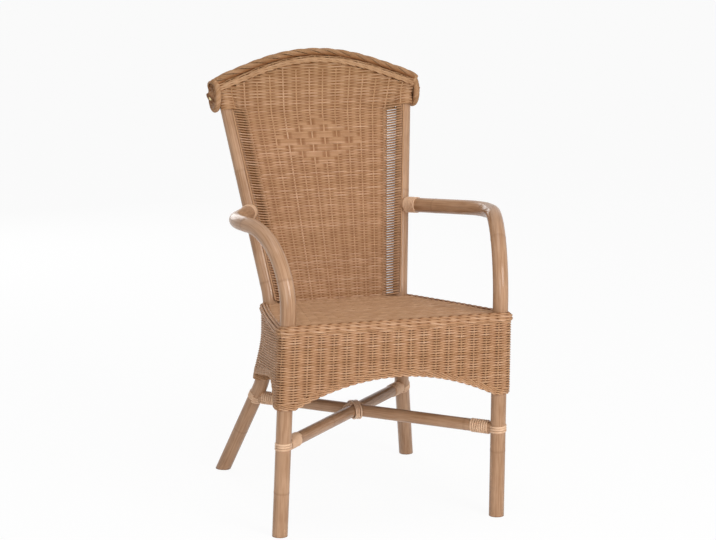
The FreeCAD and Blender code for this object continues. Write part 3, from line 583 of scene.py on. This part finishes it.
def buildPoles():
    step = poleBuild["step"]
    for side, word in bothSides:
        at = chairOn(side)
        arm = [at["frontFoot"], at["armCorner"], at["armBow"], at["armEnd"]]
        path = bentPath(arm, poleBuild["armBends"], step)
        mesh = poleMesh("legArmPole." + word, path, chair["legRadius"], True)
        finishPiece("legArmPole." + word, mesh, pole, ["front_leg_arm_" + word])
        post = [at["rearFoot"], at["rearKnee"], at["rearSeat"], at["postTop"]]
        path = bentPath(post, poleBuild["legBends"], step)
        for point in path:
            point.x -= side * waist(point.z)
        mesh = poleMesh("legPostPole." + word, path, chair["postRadius"], True)
        finishPiece("legPostPole." + word, mesh, pole, ["rear_leg_post_" + word])
        other = "right" if word == "left" else "left"
        start, end = at["stretcherFront"], mirrored(chair["stretcherRear"], -side)
        run = [start.lerp(end, poleBuild["tuckIn"]), end.lerp(start, poleBuild["tuckIn"])]
        mesh = poleMesh("stretcherPole." + word, bentPath(run, [], step), chair["stretcherRadius"])
        finishPiece("stretcherPole." + word, mesh, pole, [f"stretcher_{word}_to_{other}"])
    half, count = poleBuild["railHalf"], poleBuild["railSteps"]
    acrosses = [half * (2 * index / count - 1) for index in range(count + 1)]
    path = [backPoint(across, crestUp(across), chair["scrollForward"]) for across in acrosses]
    mesh = poleMesh("crestPole", path, poleBuild["railRadius"])
    finishPiece("crestPole", mesh, rawPole, ["crest_rail"])


buildPoles()

# skirt, woven round the seat and wrapped over the corner poles

skirt = {
    "reach": 0.0199,
    "bow": 0.004,
    "frontLow": 0.279,
    "rearLow": 0.256,
    "frontArch": 0.335,
    "sideRise": 0.066,
    "sidePower": 10,
    "rearArch": 0.322,
    "stakes": {"front": 18, "right": 16, "rear": 12, "left": 16},
    "pitch": 0.00275,
    "rows": 66,
    "strand": 0.0019,
    "amplitude": 0.0022,
    "dip": 2.6,
    # painted shade: strands fully dark where they pass behind a stake
    "litToneLow": 0.0,
    "litToneHigh": 1.0,
    "steps": 6,
    "stakeRadius": 0.0021,
    # stakes painted in part shade where they show in the holes between rows
    "stakeLitTone": 0.62,
    "stakeOver": 0.004,
    "stakeRows": 2,
    "borderRise": 0.0115,
    "borderRows": 3,
    "borderPitch": 0.0046,
    "borderStart": 0.0022,
    "topDrop": 0.0150,
    "waleRows": 5,
    "waleFirst": math.radians(-55),
    "waleTurn": math.radians(42),
    "waleBend": 0.0088,
    "waleInset": 0.0045,
    "waleDrop": 0.0088,
    "ropeSteps": 7,
    "liningBack": 0.0042,
    "liningRise": 0.0015,
    # a second layer of strands behind the weave, painted in deep shade so the holes look dark
    "shadedLining": {
        "steps": 2, "amplitude": 0.0, "strand": 0.0016, "dip": 1.0, "litToneLow": 0.10, "litToneHigh": 0.22,
    },
}


def cornerAxes(height):
    front = poleAt(chair["frontFoot"], chair["frontSeat"], height)
    rear = poleAt(chair["rearKnee"], chair["rearSeat"], height)
    rear.x -= waist(height)
    return [mirrored(front, -1), front, rear, mirrored(rear, -1)]


def sideRun(corners, index):
    start, end = corners[index], corners[(index + 1) % 4]
    chord = end - start
    chord.z = 0
    outward = Vector((chord.y, -chord.x, 0)).normalized()
    bow = skirt["bow"] if index % 2 else 0.0
    if not bow:
        return start, end, None, outward, outward
    radius = (chord.length**2 / 4 + bow**2) / (2 * bow)
    centre = start + chord / 2 + outward * (bow - radius)
    return start, end, centre, (start - centre).normalized(), (end - centre).normalized()


def ringSpot(index, share, height, reach):
    corners = cornerAxes(height)
    start, end, centre, leaving, arriving = sideRun(corners, index)
    before = (sideRun(corners, (index - 1) % 4)[4] + leaving).normalized()
    after = (sideRun(corners, (index + 1) % 4)[3] + arriving).normalized()
    firstArc, lastArc = before.angle(leaving) * reach, after.angle(arriving) * reach
    if centre is None:
        run = (end - start).length
    else:
        run = leaving.angle(arriving) * ((start - centre).length + reach)
    spot = share * (firstArc + run + lastArc)
    if spot < firstArc:
        normal = before.slerp(leaving, spot / firstArc)
        return start + normal * reach, normal
    if spot > firstArc + run:
        normal = arriving.slerp(after, min(1, (spot - firstArc - run) / lastArc))
        return end + normal * reach, normal
    part = (spot - firstArc) / run
    if centre is None:
        return start.lerp(end, part) + leaving * reach, leaving
    normal = leaving.slerp(arriving, part)
    return centre + normal * ((start - centre).length + reach), normal


# round arches in front and at the rear; the sides rise behind the front leg and slope to the rear leg
def archHeight(index, spot):
    frontLow, rearLow = skirt["frontLow"], skirt["rearLow"]
    front, rear = cornerAxes(frontLow)[1], cornerAxes(rearLow)[2]
    if index % 2:
        frontEdge, rearEdge = front.y + chair["legRadius"], rear.y - chair["postRadius"]
        ahead = max(0, min(1, (rearEdge - spot.y) / (rearEdge - frontEdge)))
        rise = skirt["sideRise"] * ahead * (1 - ahead ** skirt["sidePower"])
        return rearLow + (frontLow - rearLow) * ahead + rise
    if index == 0:
        low, crown, half = frontLow, skirt["frontArch"], front.x - chair["legRadius"]
    else:
        low, crown, half = rearLow, skirt["rearArch"], rear.x - chair["postRadius"]
    share = max(-1, min(1, spot.x / half))
    return crown + (low - crown) * share**2


def skirtColumn(index, share):
    spot, _ = ringSpot(index, share, skirt["frontArch"], skirt["reach"])
    return seatHeight(spot.y), archHeight(index, spot)


def skirtRope(index, stakes, row, upper):
    path, normals = [], []
    steps = stakes * skirt["ropeSteps"]
    for step in range(steps + 1):
        seatTop, arch = skirtColumn(index, step / steps)
        if upper:
            turn = skirt["waleFirst"] + skirt["waleTurn"] * row
            height = seatTop - skirt["waleDrop"] + skirt["waleBend"] * math.sin(turn)
            reach = skirt["reach"] - skirt["waleInset"] + skirt["waleBend"] * math.cos(turn)
        else:
            height = arch + skirt["borderStart"] + skirt["borderPitch"] * row
            reach = skirt["reach"]
        spot, normal = ringSpot(index, step / steps, height, reach)
        path.append(spot)
        normals.append(normal)
    return cable(path, normals, ropes["wale"] if upper else ropes["border"])


def buildSkirts():
    for index, (word, stakes) in enumerate(skirt["stakes"].items()):
        columns = {}

        def skirtSpot(stake, lift, drop, rise=skirt["borderRise"]):
            share = stake / stakes
            if share not in columns:
                columns[share] = skirtColumn(index, share)
            seatTop, arch = columns[share]
            height = seatTop - skirt["topDrop"] - drop
            if height < arch + rise:
                return None
            return ringSpot(index, share, height, skirt["reach"] + lift)[0]

        strands = []
        for row in range(skirt["rows"]):
            drop = (row + 0.5) * skirt["pitch"]
            strands += wovenLines(
                lambda stake, lift: skirtSpot(stake, lift, drop),
                0, stakes, plainWeave(row), skirt,
            )
            # the lining behind the rows, painted dark as shade
            strands += wovenLines(
                lambda stake, lift: skirtSpot(stake, -skirt["liningBack"], drop, skirt["liningRise"]),
                0, stakes, plainWeave(row), skirt["shadedLining"],
            )
        step = skirt["pitch"] * skirt["stakeRows"]
        drops = [row * step - skirt["stakeOver"] for row in range(skirt["rows"] // skirt["stakeRows"])]
        for stake in range(stakes + 1):
            line = [spot for spot in (skirtSpot(stake, 0, drop) for drop in drops) if spot is not None]
            strands.append((line, skirt["stakeRadius"], skirt["stakeLitTone"]))
        for row in range(skirt["waleRows"]):
            strands += skirtRope(index, stakes, row, True)
        for row in range(skirt["borderRows"]):
            strands += skirtRope(index, stakes, row, False)
        strandPiece("skirtWeave." + word, strands, weave, ["skirt_" + word])


buildSkirts()

# seat, woven across stakes that fan out to the front

seat = {
    "pitch": 0.0028,
    "strand": 0.0017,
    "amplitude": 0.0013,
    "dip": 1.0,
    # painted shade in the slots where strands pass under, and light shade on the stakes
    "litToneLow": 0.12,
    "litToneHigh": 1.0,
    "steps": 4,
    "inset": 0.012,
    "drop": 0.0024,
    "stakeRadius": 0.0019,
    "stakeLitTone": 0.8,
    "stakeCount": 17,
    "frontHalf": 0.194,
    "rearHalf": 0.112,
    "frontSetback": -0.012,
    "rearSetback": 0.375,
    "stakeSteps": 24,
}


def seatHalf(y):
    corners = cornerAxes(chair["frontSeat"].z)
    start, _, centre, _, _ = sideRun(corners, 1)
    radius = (start - centre).length + seat["inset"]
    return centre.x + math.sqrt(max(0, radius**2 - (y - centre.y) ** 2))


def seatLimit(y):
    half = seatHalf(y)
    poles = ((chair["frontSeat"], chair["legRadius"]), (chair["rearSeat"], chair["postRadius"]))
    for axis, radius in poles:
        gap = abs(y - axis.y)
        if gap < radius:
            half = min(half, axis.x - math.sqrt(radius**2 - gap**2))
    return half


def seatGap(y):
    setback = y - chair["frontSeat"].y
    share = (setback - seat["frontSetback"]) / (seat["rearSetback"] - seat["frontSetback"])
    half = seat["frontHalf"] + (seat["rearHalf"] - seat["frontHalf"]) * share
    return 2 * half / (seat["stakeCount"] - 1)


def buildSeat():
    strands = []
    front, rear = chair["frontSeat"].y - seat["inset"], chair["rearSeat"].y + seat["inset"]
    for row in range(int((rear - front) / seat["pitch"])):
        y = front + (row + 0.5) * seat["pitch"]
        gap, level = seatGap(y), seatHeight(y) - seat["drop"]
        last = seatLimit(y) / gap
        strands += wovenLines(
            lambda stake, lift: Vector((stake * gap, y, level + lift)),
            -last, last, plainWeave(row), seat,
        )
    edge = seat["stakeCount"] // 2
    depths = [front + (rear - front) * k / seat["stakeSteps"] for k in range(seat["stakeSteps"] + 1)]
    for stake in range(-edge, edge + 1):
        line = [Vector((stake * seatGap(y), y, seatHeight(y) - seat["drop"])) for y in depths]
        strands.append((line, seat["stakeRadius"], seat["stakeLitTone"]))
    strandPiece("seatWeave", strands, weave, ["seat_panel"])


buildSeat()

# back panel with its stepped diamond, and the band over its head

back = {
    "foot": -0.006,
    "neck": 0.441,
    "footHalf": 0.117,
    "neckHalf": 0.167,
    "gaps": 11,
    "pitch": 0.00305,
    "strand": 0.00195,
    "amplitude": 0.0012,
    "dip": 1.0,
    # painted shade on strands where they pass behind a stake, and light shade on the stakes
    "litToneLow": 0.33,
    "litToneHigh": 1.0,
    "steps": 6,
    "overEdge": 0.12,
    "stakeShift": 0.5,
    "stakeRadius": 0.0024,
    "stakeLitTone": 0.9,
    "edgeRadius": 0.0060,
    "edgeBack": 0.002,
    "diamondUp": 0.367,
    "diamondWide": 3.9,
    "diamondTall": 0.063,
    "blockRows": 5,
    "blockDepth": 0.85,
    "headHalf": 0.227,
    "headSpread": 0.05,
    "headForward": 0.0285,
    "headOver": 0.0030,
    "headCalm": 0.5,
    "headStakes": 7,
    "liningRows": 18,
    "liningBelow": 4,
    "liningPitch": 0.0028,
    "liningBack": 0.0040,
    "stakeSteps": 40,
}


def panelGap(up):
    half = back["footHalf"] + (back["neckHalf"] - back["footHalf"]) * up / back["neck"]
    return 2 * half / back["gaps"]


def headLift(across, up):
    if up <= back["neck"]:
        return chair["panelForward"]
    part = min(1, (up - back["neck"]) / (crestUp(across) - back["neck"]))
    lift = chair["panelForward"] + (back["headForward"] - chair["panelForward"]) * part
    over = chair["postRadius"] + back["headOver"]
    gap = abs(abs(across) - postAcross(up))
    return max(lift, math.sqrt(over**2 - gap**2)) if gap < over else lift


def overUnder(stake, row, up):
    wide = abs(round(stake)) / back["diamondWide"]
    if wide + abs(up - back["diamondUp"]) / back["diamondTall"] < 1:
        return back["blockDepth"] if (row // back["blockRows"]) % 2 else -back["blockDepth"]
    return plainWeave(row)(stake)


def buildBack():
    strands = []
    top, shift = crestUp(0), back["stakeShift"]
    for row in range(int((top - back["foot"]) / back["pitch"])):
        up = back["foot"] + (row + 0.5) * back["pitch"]
        gap = panelGap(up)
        if up <= back["neck"]:
            last = back["gaps"] / 2 + back["overEdge"]
        else:
            last = (back["headHalf"] + back["headSpread"] * (up - back["neck"])) / gap

        def spotAt(stake, lift):
            across = (stake + shift) * gap
            if up > crestUp(across):
                return None
            calm = back["headCalm"] if up > back["neck"] else 1.0
            return backPoint(across, up, headLift(across, up) + calm * lift)

        strands += wovenLines(
            spotAt, -last - shift, last - shift, lambda stake: overUnder(stake + shift, row, up), back,
        )
    for stake in range(-back["headStakes"], back["headStakes"]):
        place = stake + shift
        inPanel = abs(place) <= back["gaps"] / 2
        start = back["foot"] if inPanel else back["neck"]
        line = []
        for step in range(back["stakeSteps"] + 1):
            up = start + (top - start) * step / back["stakeSteps"]
            across = place * panelGap(up)
            if up < crestUp(across):
                line.append(backPoint(across, up, headLift(across, up)))
        strands.append((line, back["stakeRadius"], back["stakeLitTone"]))
    for side, _ in bothSides:
        edge = []
        for up in (back["foot"], back["neck"]):
            across = side * panelGap(up) * back["gaps"] / 2
            edge.append(backPoint(across, up, chair["panelForward"] - back["edgeBack"]))
        strands.append((edge, back["edgeRadius"], back["stakeLitTone"]))
    for row in range(back["liningRows"]):
        up = back["neck"] + (row - back["liningBelow"]) * back["liningPitch"]
        gap, forward = panelGap(up), chair["panelForward"] - back["liningBack"]
        last = back["gaps"] / 2 if up < back["neck"] else (postAcross(up) - chair["postRadius"]) / gap
        strands += wovenLines(
            lambda stake, lift: backPoint((stake + shift) * gap, up, forward + lift),
            -last - shift, last - shift, plainWeave(row), back,
        )
    strandPiece("backWeave", strands, weave, ["back_panel"])


buildBack()

# roll over the crest, with its plaits and the hoops round its ends

roll = {
    "radius": 0.0312,
    "half": 0.232,
    "sweep": math.radians(238),
    "pitch": 0.0030,
    "strand": 0.0019,
    "amplitude": 0.0014,
    "dip": 1.0,
    # painted shade on strands where they pass behind a stake
    "litToneLow": 0.15,
    "litToneHigh": 1.0,
    "steps": 6,
    "gaps": 14,
    "stakeRadius": 0.0021,
    "stakeLitTone": 0.9,
    "stakeSteps": 24,
    "ropeAngles": (math.radians(3), math.radians(11)),
    "ropeSteps": 160,
    "plaitAngle": math.radians(46),
    "edgeAngle": math.radians(229),
    "endRun": 0.030,
    "endDrop": 0.006,
    "hoopAcross": 0.2365,
    "hoopRadius": 0.031,
    "hoopTurns": 6,
    "coilRadii": (0.0165, 0.0210, 0.0252),
    "coilOut": 0.0030,
    "hoopSteps": 96,
}


def rollSpot(across, angle, radius):
    up = crestUp(across)
    middle = backPoint(across, up, chair["scrollForward"])
    outward = Vector((across, 0, 0)) + backUp * (up - chair["crestCentre"])
    normal = backForward * math.cos(angle) + outward.normalized() * math.sin(angle)
    return middle + normal * radius, normal


def rollRope(angle, rope):
    path, normals, half = [], [], roll["half"]
    for step in range(roll["ropeSteps"] + 1):
        across = half * (2 * step / roll["ropeSteps"] - 1)
        ending = max(0, (abs(across) - half) / roll["endRun"] + 1)
        lift = roll["radius"] + roll["amplitude"] + rope["high"] - roll["endDrop"] * ending**2
        spot, normal = rollSpot(across, angle, lift)
        path.append(spot)
        normals.append(normal)
    return cable(path, normals, rope)


def hoop(side):
    path, normals = [], []
    across = side * roll["hoopAcross"]
    middle = backPoint(across, crestUp(across), chair["scrollForward"])
    for step in range(roll["hoopSteps"] + 1):
        angle = math.tau * step / roll["hoopSteps"]
        normal = backForward * math.cos(angle) + backUp * math.sin(angle)
        path.append(middle + normal * roll["hoopRadius"])
        normals.append(normal)
    strands = cable(path, normals, ropes["hoop"], roll["hoopTurns"])
    outside = middle + Vector((side * roll["coilOut"], 0, 0))
    for radius in roll["coilRadii"]:
        ring = [outside + normal * radius for normal in normals]
        strands += cable(ring, normals, ropes["coil"])
    return strands


def buildRoll():
    strands = []
    rows = int(roll["sweep"] * roll["radius"] / roll["pitch"])
    gap = 2 * roll["half"] / roll["gaps"]
    last = roll["gaps"] / 2
    for row in range(rows):
        angle = roll["sweep"] * (row + 0.5) / rows
        strands += wovenLines(
            lambda stake, lift: rollSpot(stake * gap, angle, roll["radius"] + lift)[0],
            -last, last, plainWeave(row), roll,
        )
    angles = [roll["sweep"] * k / roll["stakeSteps"] for k in range(roll["stakeSteps"] + 1)]
    for stake in range(roll["gaps"] + 1):
        across = (stake - last) * gap
        line = [rollSpot(across, angle, roll["radius"])[0] for angle in angles]
        strands.append((line, roll["stakeRadius"], roll["stakeLitTone"]))
    for angle in roll["ropeAngles"]:
        strands += rollRope(angle, ropes["wale"])
    strandPiece("crestRoll", strands, weave, ["crest_scroll"])
    plait = rollRope(roll["plaitAngle"], ropes["crest"]) + hoop(-1) + hoop(1)
    strandPiece("crestPlait", plait, weave, ["crest_braid"])
    edge = rollRope(roll["edgeAngle"], ropes["edge"])
    strandPiece("rollPlait", edge, weave, ["scroll_braid"])


buildRoll()

# lacing between the panel and the posts, with a second run behind the first, painted dark as shade

lacing = {
    "pitch": 0.0059,
    "strand": 0.0017,
    "foot": 0.003,
    "edgeForward": 0.0068,
    "edgeInset": 0.003,
    "postAngle": math.radians(66),
    "steps": 6,
    "rodRadius": 0.0018,
    "rodAngle": math.radians(74),
    "rodSteps": 16,
    # front run painted in light shade, rear run in deep shade
    "litTone": 0.75,
    "rearLitTone": 0.3,
    "backAngle": math.radians(-52),
    "backForward": -0.0070,
    "backStrand": 0.0023,
    "backRise": (0.0029, 0.0064),
    "riseShares": (0.76, 1.12),
    "backShift": {"left": 0.5, "right": 0.0},
}


def onPost(up, side, angle, clear):
    reach = chair["postRadius"] + clear
    return backPoint(side * (postAcross(up) - reach * math.cos(angle)), up, reach * math.sin(angle))


def buildLacing():
    for side, word in bothSides:
        strands = []
        for row in range(math.ceil((back["neck"] - lacing["foot"]) / lacing["pitch"]) + 1):
            up = lacing["foot"] + row * lacing["pitch"]
            inner = panelGap(up) * back["gaps"] / 2 - lacing["edgeInset"]
            start = backPoint(side * inner, up, chair["panelForward"] + lacing["edgeForward"])
            end = onPost(up, side, lacing["postAngle"], lacing["strand"])
            line = [start.lerp(end, step / lacing["steps"]) for step in range(lacing["steps"] + 1)]
            strands.append((line, lacing["strand"], lacing["litTone"]))
            up += lacing["backShift"][word] * lacing["pitch"]
            low, high = lacing["riseShares"]
            steep = low + (high - low) * up / back["neck"]
            first, last = (up + steep * rise for rise in lacing["backRise"])
            start = backPoint(side * inner, first, chair["panelForward"] + lacing["backForward"])
            end = onPost(last, side, lacing["backAngle"], lacing["backStrand"])
            strands.append(([start, end], lacing["backStrand"], lacing["rearLitTone"]))
        run = back["neck"] - lacing["foot"]
        ups = [lacing["foot"] + run * k / lacing["rodSteps"] for k in range(lacing["rodSteps"] + 1)]
        rod = [onPost(up, side, lacing["rodAngle"], lacing["rodRadius"]) for up in ups]
        strands.append((rod, lacing["rodRadius"], fullLitTone))
        strandPiece("backLacing." + word, strands, weave, ["back_lacing_" + word])


buildLacing()

# plaited rings on the rear legs

legRing = {"rows": 3, "pitch": 0.0042, "low": 0.2440, "steps": 64, "turns": 4}


def buildLegRings():
    rope = ropes["border"]
    reach = chair["postRadius"] + rope["radius"] + rope["high"]
    for side, word in bothSides:
        strands = []
        for row in range(legRing["rows"]):
            height = legRing["low"] + row * legRing["pitch"]
            centre = mirrored(poleAt(chair["rearKnee"], chair["rearSeat"], height), side)
            path, normals = [], []
            for step in range(legRing["steps"] + 1):
                angle = math.tau * step / legRing["steps"]
                normal = Vector((math.cos(angle), math.sin(angle), 0))
                path.append(centre + normal * reach)
                normals.append(normal)
            strands += cable(path, normals, rope, legRing["turns"])
        strandPiece("legRing." + word, strands, weave, ["leg_braid_" + word])


buildLegRings()

# pale peel strips wound on the joints

binding = {
    "pitch": 0.0053,
    "width": 0.0024,
    "thick": 0.0015,
    "sink": 0.2,
    "steps": 28,
    "section": 10,
    "clear": 0.003,
    "runTurns": 8,
    "legTurns": 3,
    "legStart": {"front": -0.008, "rear": -0.010},
    "armTurns": 7,
}


def windStrip(bm, start, axis, poleRadius, turns):
    axis = axis.normalized()
    outward = axis.orthogonal().normalized()
    ring, edges = startRing(bm, binding["section"], 1.0)
    for vert in ring:
        rise = poleRadius + binding["thick"] * (binding["sink"] + vert.co.x)
        vert.co = start + outward * rise + axis * binding["width"] * vert.co.y
    bmesh.ops.contextual_create(bm, geom=edges)
    steps = int(binding["steps"] * turns)
    spun = bmesh.ops.spin(
        bm, geom=ring + edges, cent=start, axis=axis, dvec=axis * binding["pitch"] * turns / steps,
        angle=math.tau * turns, steps=steps, use_merge=False, use_duplicate=False,
    )
    lastEdges = [item for item in spun["geom_last"] if isinstance(item, bmesh.types.BMEdge)]
    bmesh.ops.contextual_create(bm, geom=lastEdges)


def bindingPiece(name, windings, node):
    bm = bmesh.new()
    for winding in windings:
        windStrip(bm, *winding)
    bmesh.ops.recalc_face_normals(bm, faces=bm.faces)
    mesh = meshFrom(bm, name)
    mesh.shade_smooth()
    finishPiece(name, mesh, peel, [node])


def buildBindings():
    clear, stretcher = binding["clear"], chair["stretcherRadius"]
    for side, word in bothSides:
        at, across = chairOn(side), chairOn(-side)
        joints = (
            ("front", at["stretcherFront"], across["stretcherRear"], at["frontSeat"], chair["legRadius"]),
            ("rear", at["stretcherRear"], across["stretcherFront"], at["rearFoot"], chair["postRadius"]),
        )
        for place, joint, far, legFar, legRadius in joints:
            run, legRun = (far - joint).normalized(), (legFar - joint).normalized()
            windings = [
                (joint + run * (legRadius + clear), run, stretcher, binding["runTurns"]),
                (joint + legRun * binding["legStart"][place], legRun, legRadius, binding["legTurns"]),
            ]
            bindingPiece(f"peelBinding.{place}.{word}", windings, f"binding_{place}_{word}")
        run = (at["armBow"] - at["armEnd"]).normalized()
        start = at["armEnd"] + run * (chair["postRadius"] + clear)
        windings = [(start, run, chair["legRadius"], binding["armTurns"])]
        bindingPiece("armBinding." + word, windings, "arm_binding_" + word)


crossing = {
    "turns": 4,
    "pitch": 0.0040,
    "strand": 0.0020,
    "steps": 32,
    "sides": 8,
    "under": {
        "axis": Vector((0, 1, 0)), "first": Vector((1, 0, 0)),
        "reach": 0.0207, "spread": 0.94, "high": 0.0156,
    },
    "over": {
        "axis": Vector((1, 0, 0)), "first": Vector((0, 1, 0)),
        "reach": 0.0240, "spread": 1.06, "high": 0.0192,
    },
}


def buildCrossing():
    front, rear = chair["stretcherFront"], mirrored(chair["stretcherRear"], -1)
    middle = front.lerp(rear, front.x / (front.x - rear.x))
    strands = []
    for lash in (crossing["under"], crossing["over"]):
        points = []
        for step in range(crossing["turns"] * crossing["steps"] + 1):
            turn = step / crossing["steps"]
            angle = math.tau * turn
            shift = crossing["pitch"] * (turn - crossing["turns"] / 2)
            reach = lash["reach"] + lash["spread"] * abs(shift)
            loop = lash["first"] * reach * math.cos(angle) + upward * lash["high"] * math.sin(angle)
            points.append(middle + lash["axis"] * shift + loop)
        strands.append((points, crossing["strand"], fullLitTone))
    strandPiece("crossingBinding", strands, peel, ["binding_crossing"], crossing["sides"])


buildBindings()
buildCrossing()

# hidden rails, screws and nails keep their solids

solidLooks = {
    "seat_rail_front": rail,
    "seat_rail_rear": rail,
    "seat_rail_left": rail,
    "seat_rail_right": rail,
    "seat_cross_rail": rail,
    "frame_screws": steel,
    "crest_nails": brass,
}
for nodeName, material in solidLooks.items():
    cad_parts[nodeName].data.materials.clear()
    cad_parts[nodeName].data.materials.append(material)

# studio: white floor, soft light and the photograph's view

studio = {
    "floorSize": 30.0,
    "floorTone": 0.98,
    "floorGlow": 0.93,
    "skyLight": 0.33,
    "cameraPlace": Vector((-1.4591, -4.4802, 1.3925)),
    "cameraTarget": Vector((-0.0833, -0.3040, 0.5639)),
    "cameraLens": 109.2,
    "cameraSensor": 36.0,
    "cameraRoll": math.radians(0.22),
    "lampTarget": Vector((0, -0.1, 0.5)),
}


def seenByCamera(tree):
    path = addNode(tree, "ShaderNodeLightPath")
    total = path.outputs["Is Camera Ray"]
    for ray in ("Is Glossy Ray", "Is Transmission Ray"):
        either = addNode(tree, "ShaderNodeMath", operation="MAXIMUM")
        tree.links.new(total, either.inputs[0])
        tree.links.new(path.outputs[ray], either.inputs[1])
        total = either.outputs[0]
    return total


def buildFloor():
    bm = bmesh.new()
    bmesh.ops.create_grid(bm, x_segments=1, y_segments=1, size=studio["floorSize"])
    mesh = meshFrom(bm, "studioFloor")
    floor = bpy.data.objects.new("studioFloor", mesh)
    scene.collection.objects.link(floor)
    material, tree, finish = newMaterial("whiteFloor")
    finish.inputs["Base Color"].default_value = grey(studio["floorTone"])
    finish.inputs["Roughness"].default_value = 1.0
    glow = addNode(tree, "ShaderNodeEmission", Strength=1.0)
    most = addNode(tree, "ShaderNodeMath", operation="MULTIPLY")
    most.inputs[1].default_value = studio["floorGlow"]
    tree.links.new(seenByCamera(tree), most.inputs[0])
    mix = addNode(tree, "ShaderNodeMixShader")
    tree.links.new(most.outputs[0], mix.inputs[0])
    tree.links.new(finish.outputs[0], mix.inputs[1])
    tree.links.new(glow.outputs[0], mix.inputs[2])
    tree.links.new(mix.outputs[0], tree.nodes["Material Output"].inputs["Surface"])
    mesh.materials.append(material)


def buildSky():
    world = bpy.data.worlds.new("whiteRoom")
    world.use_nodes = True
    scene.world = world
    tree = world.node_tree
    sky = tree.nodes["Background"]
    sky.inputs["Color"].default_value = (1, 1, 1, 1)
    level = addNode(tree, "ShaderNodeMapRange")
    level.inputs["To Min"].default_value = studio["skyLight"]
    level.inputs["To Max"].default_value = 1.0
    tree.links.new(seenByCamera(tree), level.inputs["Value"])
    tree.links.new(level.outputs["Result"], sky.inputs["Strength"])


lamps = {
    "keyLamp": {"place": (1.2, -3.6, 1.9), "power": 76, "size": 1.8},
    "frontLamp": {"place": (-1.7, -3.6, 1.3), "power": 44, "size": 2.2},
    "backLamp": {"place": (-0.6, 3.6, 1.6), "power": 30, "size": 2.0},
    "topLamp": {"place": (-0.2, -0.6, 3.2), "power": 22, "size": 2.0},
}


def buildLamps():
    for name, lamp in lamps.items():
        light = bpy.data.lights.new(name, "AREA")
        light.energy = lamp["power"]
        light.shape = "DISK"
        light.size = lamp["size"]
        holder = bpy.data.objects.new(name, light)
        holder.location = lamp["place"]
        toChair = studio["lampTarget"] - holder.location
        holder.rotation_euler = toChair.to_track_quat("-Z", "Y").to_euler()
        scene.collection.objects.link(holder)


def buildCamera():
    lens = bpy.data.cameras.new("photoCamera")
    lens.lens = studio["cameraLens"]
    lens.sensor_width = studio["cameraSensor"]
    lens.sensor_fit = "HORIZONTAL"
    camera = bpy.data.objects.new("photoCamera", lens)
    camera.location = studio["cameraPlace"]
    looking = (studio["cameraTarget"] - studio["cameraPlace"]).to_track_quat("-Z", "Y")
    turned = looking.to_matrix() @ Matrix.Rotation(studio["cameraRoll"], 3, "Z")
    camera.rotation_euler = turned.to_euler()
    scene.collection.objects.link(camera)
    scene.camera = camera


buildFloor()
buildSky()
buildLamps()
buildCamera()
print("studio ready")
